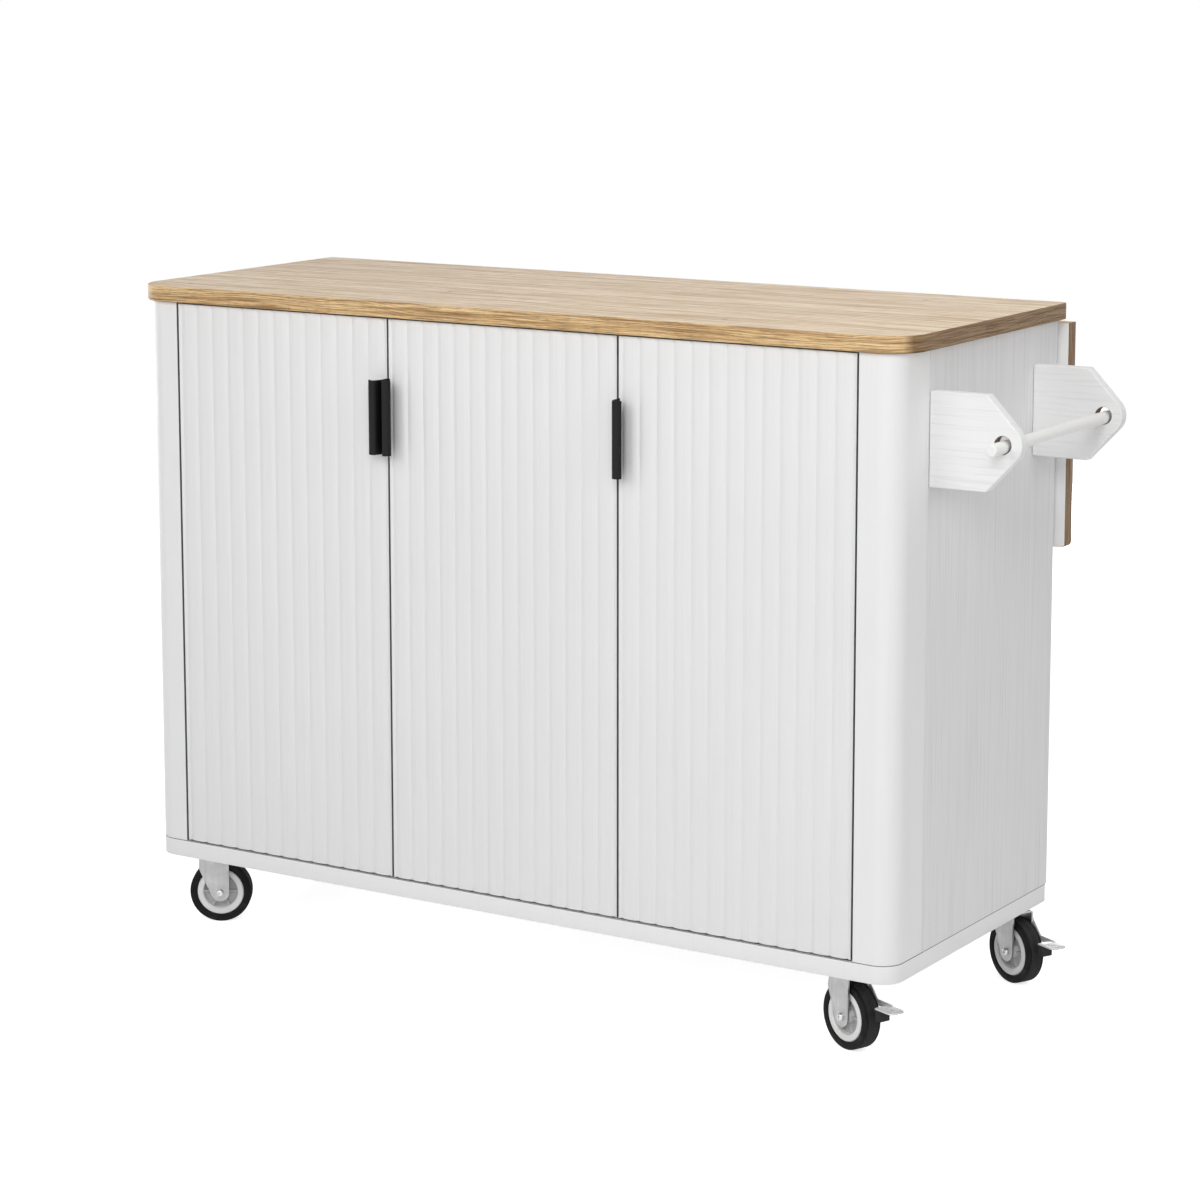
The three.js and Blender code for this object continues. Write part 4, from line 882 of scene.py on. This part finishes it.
def strip(centre, metal):
    """The outline of a bent strip, half the metal to each side of its centre line."""
    sides = ([], [])
    for i, point in enumerate(centre):
        here = Vector(point)
        before = Vector(centre[max(i - 1, 0)])
        after = Vector(centre[min(i + 1, len(centre) - 1)])
        into = here - before if i else after - here
        out = after - here if i < len(centre) - 1 else into
        heading = (into.normalized() + out.normalized()).normalized()
        mitre = max(heading.dot(into.normalized()), 0.5)
        normal = Vector((-heading.y, heading.x)) * (metal / 2 / mitre)
        sides[0].append(tuple(here + normal))
        sides[1].insert(0, tuple(here - normal))
    return sides[0] + sides[1]


def make_handle(name, free_side):
    """A flange behind the door, round its free edge, and out to a hook in front of it."""
    low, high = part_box(name + "_panel")
    handle_low, handle_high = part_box(name + "_handle")
    edge_x = high.x if free_side > 0 else low.x
    edge = FIT_GAP + HANDLE_METAL / 2
    behind = (high.y - low.y) + edge
    front = -HANDLE_REACH + HANDLE_METAL / 2
    centre = [
        (HANDLE_BACK_FLANGE, behind),
        *quadratic((edge + HANDLE_BEND, behind), (edge, behind), (edge, behind - HANDLE_BEND), 6),
        *quadratic((edge, -HANDLE_STRAIGHT), (edge + HANDLE_METAL, front),
                   (HANDLE_CURVE_END, front), 12),
        *quadratic((HANDLE_CURVE_END, front), (HANDLE_HOOK, front),
                   (HANDLE_HOOK, front + HANDLE_HOOK_RETURN), 10)[1:],
    ]
    outline = [(edge_x - free_side * u, low.y + v) for u, v in strip(centre, HANDLE_METAL)]
    if free_side < 0:
        outline = outline[::-1]
    pull = piece(name + "_pull", prism(outline, handle_low.z, handle_high.z), BLACK, name,
                 [name + "_handle"])
    soften(pull, HANDLE_EDGE, 3)


# ---- towel rail


def make_towel_plate(node, rod_x):
    """A flat that tapers from its shoulders to a round tip about the rod's hole."""
    low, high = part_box(node)
    hole = Vector((rod_x, 0, (low.z + high.z) / 2))
    tip = high.x - hole.x
    shoulder = low.x + TOWEL_PLATE_FLAT
    half = (high.z - low.z) / 2
    towards = degrees(atan2(half, shoulder - hole.x))
    touch = towards - degrees(acos(tip / hypot(shoulder - hole.x, half)))
    outline = [
        (low.x, low.z), (shoulder, low.z),
        *arc(hole.x, hole.z, tip, -touch, touch, 40),
        (shoulder, high.z), (low.x, high.z),
    ]
    plate = prism(outline, low.y, high.y, along=along_y)
    bore = prism(circle(hole.x, hole.z, TOWEL_HOLE_RADIUS, 64), low.y - OVERCUT,
                 high.y + OVERCUT, along=along_y)
    board = piece(node + "_board", cut(plate, [bore]), PLATE_WHITE, "cabinet",
                  [node])
    finish_faces(board, BARE_BORE, lambda centre, normal: (
        abs(normal.y) < 0.5
        and hypot(centre.x - hole.x, centre.z - hole.z) < TOWEL_HOLE_RADIUS + 2 * ON_FACE))
    soften(board, TOWEL_PLATE_EDGE, 3)


def make_towel_rail():
    low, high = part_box("towel_rod")
    centre = (low + high) / 2
    half = (high.y - low.y) / 2
    end = arc((high.x - low.x) / 2 - ROD_END_ROUND, half - ROD_END_ROUND, ROD_END_ROUND, 0, 90, 6)
    section = [(0.0, -half), *[(r, -y) for r, y in reversed(end)], *end, (0.0, half)]
    piece("white_rod", turned(section, 64, closed=False), ROD_WHITE, "towel_rod",
          ["towel_rod"], Matrix.Translation(centre))
    make_towel_plate("front_towel_plate", centre.x)
    make_towel_plate("rear_towel_plate", centre.x)


# ---- casters


def tread_dip(around, across, pitch):
    """How deep the crossed grooves are at a place on the tread."""
    nearest = min(abs(way % pitch - pitch / 2) for way in (around + across, around - across))
    return TREAD_DEPTH * max(0.0, 1 - nearest / TREAD_GROOVE)


def tyre_mesh(radius):
    """Smooth cheeks and round shoulders, with crossed grooves cut in the tread."""
    side = -WHEEL_WIDTH / 2
    bead = radius - TYRE_THICKNESS
    rim = radius - TREAD_RIM_DROP
    cheek = [
        (bead, side + 0.0011), (bead + 0.0008, side + 0.0003), (bead + 0.0018, side),
        (radius - 0.0032, side + 0.0001),
        *arc(radius - SHOULDER_IN, side + SHOULDER_IN, SHOULDER_ROUND, -75, 0, 5),
        (rim, side + 0.0034), (rim, side + 0.0038),
    ]
    edge = side + TREAD_EDGE
    across = [edge - 2 * edge * k / 18 for k in range(19)]
    count = TREAD_TEETH * 4
    pitch = 2 * pi * radius / TREAD_TEETH
    rings = []
    for i in range(count):
        turn = 2 * pi * i / count
        tread = [(radius - tread_dip(turn * radius, y, pitch), y) for y in across]
        rings.append(at_turn(cheek + tread + [(r, -y) for r, y in reversed(cheek)], turn))
    return loft(rings, joined=True, sharp=24)


def hub_section(rim, well):
    """The hub from its bore out to its rim, the same on both sides."""
    boss = LEG_INNER - FIT_GAP
    half = WHEEL_WIDTH / 2 - HUB_SIDE_IN
    web = HUB_WEB_HALF
    side = [
        (HUB_BORE, -boss), (HUB_BOSS - 0.0008, -boss), (HUB_BOSS, -boss + 0.0008),
        (HUB_BOSS + 0.0006, -web - 0.0012), (HUB_BOSS + 0.0018, -web),
        (well - 0.0014, -web), (well, -web - 0.0014), (well + 0.0006, -half + 0.0014),
        (well + 0.0018, -half), (rim - 0.0012, -half), (rim, -half + 0.0012),
    ]
    return side + [(r, -y) for r, y in reversed(side)]


def hub_mesh(rim, well):
    parts = [turned(hub_section(rim, well), 72)]
    for i in range(HUB_RIBS):
        rib = block(HUB_BOSS - HUB_RIB_ROOT, well + HUB_RIB_ROOT, -HUB_RIB_REACH,
                    HUB_RIB_REACH, -HUB_RIB_HALF, HUB_RIB_HALF)
        parts.append(set_at(rib, Matrix.Rotation(2 * pi * i / HUB_RIBS, 4, "Y")))
    return joined_mesh(parts)


def make_wheel(name, place, radius):
    body = name + "_wheel"
    tyre = piece(name + "_tyre", tyre_mesh(radius), RUBBER, body,
                 [name + "_caster_tyre"], place)
    tread_half = WHEEL_WIDTH / 2 - TREAD_EDGE + TREAD_OVER
    # the tread takes the lighter rubber, partly a painted sheen
    finish_faces(tyre, TREAD_WEAR_AND_SHEEN, lambda centre, normal: (
        abs(centre.y) < tread_half and hypot(centre.x, centre.z) > radius - ON_FACE))
    rim = radius - TYRE_THICKNESS - FIT_GAP
    well = rim - HUB_RIM
    hub = piece(name + "_hub", hub_mesh(rim, well), HUB_GREY, body,
                [name + "_caster_hub"], place)
    # the well between boss and rim is painted darker: shade in the recess
    finish_faces(hub, HUB_WELL_SHADE, lambda centre, normal: (
        HUB_BOSS + WELL_INSET < hypot(centre.x, centre.z) < well - WELL_INSET / 2))


def leading_edge(z):
    """Where the leading edge of a fork leg lies at height z."""
    run, rise = -FORK_LEAD, FORK_KNEE - AXLE_Z
    touch = atan2(rise, run) + acos(FORK_END / hypot(run, rise))
    touch_x = AXLE_X + FORK_END * cos(touch)
    touch_z = AXLE_Z + FORK_END * sin(touch)
    if z >= FORK_KNEE:
        return AXLE_X - FORK_LEAD
    if z <= touch_z:
        return AXLE_X - sqrt(max(FORK_END ** 2 - (z - AXLE_Z) ** 2, 1e-9))
    share = (z - touch_z) / (FORK_KNEE - touch_z)
    return touch_x + (AXLE_X - FORK_LEAD - touch_x) * share


def trailing_edge(z):
    if z >= AXLE_Z:
        return AXLE_X + FORK_END
    return AXLE_X + sqrt(max(FORK_END ** 2 - (z - AXLE_Z) ** 2, 1e-9))


def fold(x, z):
    """How far a leg's face is bent inwards at a place before its fold line."""
    def share(part, whole):
        return min(max(part / whole, 0.0), 1.0)

    line = AXLE_X - FOLD_LINE + FOLD_LEAN * share(z - AXLE_Z, CROWN_UNDERSIDE - AXLE_Z)
    clear_z, clear_rise = TYRE_CLEAR
    crease_run, crease_depth = FOLD_CREASE
    extra = (FOLD_DEPTH - FOLD_DEPTH_BY_TYRE) * share(z - clear_z, clear_rise)
    return (share(line - x, crease_run) * crease_depth
            + share(line - x, FOLD_RUN) * (FOLD_DEPTH_BY_TYRE + extra))


def fork_mesh():
    """Two legs and a crown pressed from one strip, with round bends and folded leading edges."""
    outer_y = LEG_INNER + FORK_METAL
    crown_top = CROWN_UNDERSIDE + FORK_METAL + CROWN_LIFT
    heights = [AXLE_Z - FORK_END * cos(pi / 2 * k / 8) for k in range(9)]
    heights[0] += 0.00005  # so that the leg's end keeps some width
    bend_z = crown_top - FORK_BEND
    heights += [AXLE_Z + (bend_z - AXLE_Z) * k / 16 for k in range(1, 17)]
    stations = [(outer_y, z, 1.0, 0.0, 0.0) for z in heights]
    for k in range(1, 7):
        a = pi / 2 * k / 6
        stations.append((
            outer_y - FORK_BEND * (1 - cos(a)), bend_z + FORK_BEND * sin(a),
            cos(a), sin(a), k / 6))
    rings = []
    for side in (-1, 1):
        half_rings = []
        for y, z, out, up, over in stations:
            x0 = leading_edge(z) + (CROWN_BACK - AXLE_X + FORK_LEAD) * over
            x1 = trailing_edge(z)
            across = [x0 + (x1 - x0) * k / 24 for k in range(25)]
            outer, inner = (
                [(x, side * (y - (fold(x, z) + depth) * out), z - depth * up) for x in across]
                for depth in (0.0, FORK_METAL))
            half_rings.append(outer + inner[::-1])
        rings += half_rings if side < 0 else half_rings[::-1]
    hole = prism(circle(0, 0, KINGPIN_HOLE, 32), CROWN_UNDERSIDE - OVERCUT,
                 crown_top + OVERCUT)
    return cut(loft(rings), [hole])


def axle_bolt_mesh():
    """The button head of the axle bolt on the near leg, its shank, and the nut on the far one."""
    face = LEG_INNER + FORK_METAL
    top = AXLE_HEAD_HEIGHT
    head = [
        (0.0, top - HEAD_DIMPLE), (0.0021, top - HEAD_DIMPLE), (0.0023, top - 0.0004),
        (0.0029, top), (0.0036, top - 0.0002), (0.0045, top - 0.001),
        (AXLE_HEAD, top - HEAD_DIMPLE), (AXLE_HEAD, -HEAD_SEAT), (AXLE_SHANK, -HEAD_SEAT),
        (AXLE_SHANK, -face), (AXLE_SHANK, -2 * face), (0.0, -2 * face),
    ]
    end = [(0.0, face + top), (0.0024, face + top), (THREAD_END, face + top - 0.0006),
           (THREAD_END, face + 0.001), (0.0, face + 0.001)]
    bolt = joined_mesh([
        turned([(r, -face - w) for r, w in head], 40, closed=False),
        prism(circle(0, 0, AXLE_HEAD, 6), face - OVERLAP, face + NUT_HEIGHT, NUT_EDGE, along_y),
        turned(end, 24, closed=False),
    ])
    return set_at(bolt, Matrix.Translation((AXLE_X, 0.0, AXLE_Z)))


def top_plate_mesh():
    """The plate with its swivel race, kingpin rivet and four bolts, on the swivel axis."""
    high = Vector((PLATE_HALF, PLATE_HALF))
    base = PLATE_UNDERSIDE + OVERLAP
    race = [  # (radius, height)
        (0.005, 0.0998), (0.0164, 0.0998), (0.0172, 0.1004), (0.0184, 0.1008), (0.0188, 0.1013),
        (0.0181, 0.1016), (0.0181, 0.102), (0.0194, 0.1023), (0.0199, 0.1028), (0.0199, base),
        (0.005, base),
    ]
    rivet = [
        (0.0, 0.0937), (0.0048, 0.0938), (0.0063, 0.0943), (0.007, 0.0951), (0.007, 0.0959),
        (0.0067, 0.0961), (0.004, 0.0961), (0.004, base), (0.0, base),
    ]
    parts = [
        prism(board_outline(-high, high, PLATE_CORNER, PLATE_CORNER, 8), PLATE_UNDERSIDE,
              PLATE_TOP, PLATE_EDGE),
        set_at(turned(race, 64), UPRIGHT),
        set_at(turned(rivet, 40, closed=False), UPRIGHT),
    ]
    corner = PLATE_HALF - BOLT_INSET
    for x in (-corner, corner):
        for y in (-corner, corner):
            washer = circle(x, y, WASHER_RADIUS, 28)
            parts.append(prism(washer, PLATE_UNDERSIDE - WASHER_METAL, base, 0.0002))
            parts.append(prism(circle(x, y, BOLT_RADIUS, 6), PLATE_UNDERSIDE - BOLT_HEIGHT,
                               PLATE_UNDERSIDE - WASHER_METAL + 0.0001, NUT_EDGE))
    return joined_mesh(parts)


def pedal_mesh():
    """The brake's eye and bent arm outside the far leg, and its ribbed tread plate."""
    inner, outer = BRAKE_ARM_INNER, BRAKE_ARM_INNER + BRAKE_ARM_METAL
    u, v = BRAKE_PIVOT
    elbow = u + BRAKE_ELBOW
    half = BRAKE_ARM_HALF
    eye = belt(u, v, BRAKE_EYE, elbow, BRAKE_TREAD_Z, half)
    arm = belt(elbow, BRAKE_TREAD_Z, half, BRAKE_PAD_START + half, BRAKE_TREAD_Z - 0.0002, 0.0038)
    parts = [prism(shape, inner, outer, 0.0003, along_y) for shape in (eye, arm)]
    inside = outer - BRAKE_TREAD_WIDTH
    r = BRAKE_TREAD_CORNER
    plate = [
        (BRAKE_PAD_START, inside), *arc(BRAKE_TREAD_TIP - r, inside + r, r, -90, 0, 10),
        *arc(BRAKE_TREAD_TIP - r, outer - r, r, 0, 90, 10), (BRAKE_PAD_START, outer),
    ]
    top = BRAKE_TREAD_Z + BRAKE_TREAD_METAL
    parts.append(prism(plate, BRAKE_TREAD_Z, top - 0.0006, 0.0007))
    for k in range(BRAKE_RIBS):
        x = BRAKE_TREAD_TIP - BRAKE_RIB_INSET - BRAKE_RIB_PITCH * k
        rib = belt(x, inside + BRAKE_RIB_INSET, BRAKE_RIB_HALF,
                   x, outer - BRAKE_RIB_INSET, BRAKE_RIB_HALF - 1e-6, 6)
        parts.append(prism(rib, top - 0.0008, top, 0.0003))
    lug = circle(u, v, BRAKE_LUG - 1e-5, 24)
    parts.append(prism(lug, inner - 0.0005, outer + 0.0012, 0.0004, along_y))
    return joined_mesh(parts)


def pad_mesh():
    inside = BRAKE_ARM_INNER + BRAKE_ARM_METAL - BRAKE_TREAD_WIDTH
    far = BRAKE_PAD_START + BRAKE_PAD_DEPTH
    outline = [
        (BRAKE_PAD_START + 0.0008, BRAKE_PAD_END_Z), (far, BRAKE_PAD_END_Z),
        (far, BRAKE_TREAD_Z), (BRAKE_PAD_START, BRAKE_TREAD_Z),
    ]
    return prism(outline, inside, inside + BRAKE_PAD_WIDTH, BRAKE_PAD_EDGE, along_y)


CASTERS = ("front_left", "front_right", "rear_right", "rear_left")


def make_casters():
    for name in CASTERS:
        plate_low, plate_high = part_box(name + "_caster_plate")
        tyre_low, tyre_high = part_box(name + "_caster_tyre")
        swivel = (plate_low + plate_high) / 2
        axle = (tyre_low + tyre_high) / 2
        heading = atan2(axle.y - swivel.y, axle.x - swivel.x)
        turn = Matrix.Rotation(heading, 4, "Z")
        on_swivel = Matrix.Translation((swivel.x, swivel.y, 0.0))
        on_fork = on_swivel @ turn
        make_wheel(name, Matrix.Translation(axle) @ turn, (tyre_high.z - tyre_low.z) / 2)
        piece(name + "_top_plate", top_plate_mesh(), ZINC, "cabinet",
              [name + "_caster_plate"], on_swivel)
        body = name + "_swivel"
        pressing = piece(name + "_fork_pressing", fork_mesh(), ZINC, body,
                         [name + "_caster_fork"], on_fork)
        soften(pressing, FORK_EDGE)
        piece(name + "_axle_bolt", axle_bolt_mesh(), BOLT_ZINC, body,
              place=on_fork)
        if name + "_caster_brake_pedal" in NODES:
            body = name + "_brake"
            piece(name + "_brake_tread", pedal_mesh(), PEDAL_GREY, body,
                  [name + "_caster_brake_pedal"], on_fork)
            piece(name + "_brake_pad", pad_mesh(), PAD_BLACK, body, place=on_fork)


# ---- whole object

make_worktop()
make_base()
make_post("left", -1)
make_post("right", 1)
make_leaf()
for panel in ("left_side_panel", "right_side_panel", "divider_panel", "back_panel",
              "top_front_rail", "top_rear_rail", "wide_shelf", "narrow_shelf"):
    dress_board(panel, GRAINED_WHITE)

DOORS = {"left_door": 1, "middle_door": -1, "right_door": -1}
for door, free_side in DOORS.items():
    make_door(door, free_side)
    make_handle(door, free_side)
    for end in ("upper", "lower"):
        dress_board(f"{door}_{end}_hinge_cup", BOLT_ZINC, HINGE_EDGE)
        dress_board(f"{door}_{end}_hinge_arm", BOLT_ZINC, HINGE_EDGE)
for side in ("left", "right"):
    for part in ("plate", "arm", "brace"):
        dress_board(f"{side}_leaf_bracket_{part}", WHITE_STEEL, BRACKET_EDGE)

make_towel_rail()
make_casters()

# ---- floor, light and camera

FLOOR_HALF = 14.0
FLOOR_GLOW = 0.74  # where the camera or a shiny piece sees it, to be white outside the shadow
AMBIENT = 0.34
WHITE = (1.0, 1.0, 1.0, 1.0)
AIM = Vector((0.0, 0.0, 0.5))
SOFTBOXES = {  # watts, place, size
    "key": (48.0, (-1.4, -4.2, 2.6), 2.4),
    "fill": (50.0, (1.5, -3.2, 2.4), 1.6),
    "side": (16.0, (3.2, -0.4, 2.0), 1.6),
    "overhead": (14.0, (0.9, 0.2, 3.1), 1.6),
    "back": (58.0, (-1.5, 3.9, 0.5), 0.8),  # low, so that it doesn't glare on the worktop
    "left": (14.0, (-3.6, 0.6, 0.5), 0.8),
}

LENS_PIXELS = 3374.4  # focal length in pixels of the 1200 pixel picture
PICTURE = 1200
CAMERA_YAW = 0.5783
CAMERA_PITCH = 0.1558
CAMERA_ROLL = -0.0034
CAMERA_FROM_FRONT = Vector((2.4226, -3.5988, 0.0))  # from the middle of the worktop's front edge
CAMERA_HEIGHT = 1.4015
OPTICAL_AXIS = (540, 460)  # pixel that the lens points at


def seen_directly(nodes):
    """1 for the camera and for what metal and glass show, 0 for light on the object."""
    path = nodes.add("LightPath").outputs
    seen = nodes.math("MAXIMUM", path["Is Camera Ray"], path["Is Glossy Ray"])
    return nodes.math("MAXIMUM", seen, path["Is Transmission Ray"])


def make_floor():
    corners = [(-1, -1), (1, -1), (1, 1), (-1, 1)]
    mesh = bpy.data.meshes.new("floor")
    mesh.from_pydata([(FLOOR_HALF * x, FLOOR_HALF * y, 0.0) for x, y in corners], [],
                     [(0, 1, 2, 3)])
    floor = put_in_scene("floor", mesh)
    pale = Finish("pale floor", Roughness=0.9, Specular_IOR_Level=0.0, Emission_Color=WHITE)
    pale.feed(Base_Color=pale.drift(grey(230), 3.0, 0.01)["Color"],
              Emission_Strength=pale.times(seen_directly(pale), FLOOR_GLOW))
    mesh.materials.append(pale.material)


def make_world():
    world = bpy.data.worlds.new("studio")
    bpy.context.scene.world = world
    world.use_nodes = True
    nodes = Nodes(world.node_tree)
    strength = nodes.span(seen_directly(nodes), 0.0, 1.0, AMBIENT, 1.0)
    nodes.fill(world.node_tree.nodes["Background"], {"Color": WHITE, "Strength": strength})


def make_softbox(name, watts, place, size):
    """A square lamp that faces the middle of the island and isn't seen itself."""
    light = bpy.data.lights.new(name, "AREA")
    light.energy = watts
    light.size = size
    lamp = put_in_scene(name, light)
    lamp.location = place
    lamp.rotation_euler = (Vector(place) - AIM).to_track_quat("Z", "Y").to_euler()
    lamp.visible_camera = False


def make_camera():
    data = bpy.data.cameras.new("photo_view")
    data.lens = data.sensor_width * LENS_PIXELS / PICTURE
    data.shift_x = 0.5 - OPTICAL_AXIS[0] / PICTURE
    data.shift_y = OPTICAL_AXIS[1] / PICTURE - 0.5
    camera = put_in_scene("photo_view", data)
    low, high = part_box("worktop")
    front = Vector(((low.x + high.x) / 2, low.y, CAMERA_HEIGHT))
    camera.matrix_world = (
        Matrix.Translation(front + CAMERA_FROM_FRONT)
        @ Matrix.Rotation(CAMERA_YAW, 4, "Z")
        @ Matrix.Rotation(pi / 2 - CAMERA_PITCH, 4, "X")
        @ Matrix.Rotation(CAMERA_ROLL, 4, "Z")
    )
    bpy.context.scene.camera = camera


make_floor()
make_world()
for softbox, (watts, place, size) in SOFTBOXES.items():
    make_softbox(softbox, watts, place, size)
make_camera()
bpy.context.scene.view_settings.view_transform = "Standard"
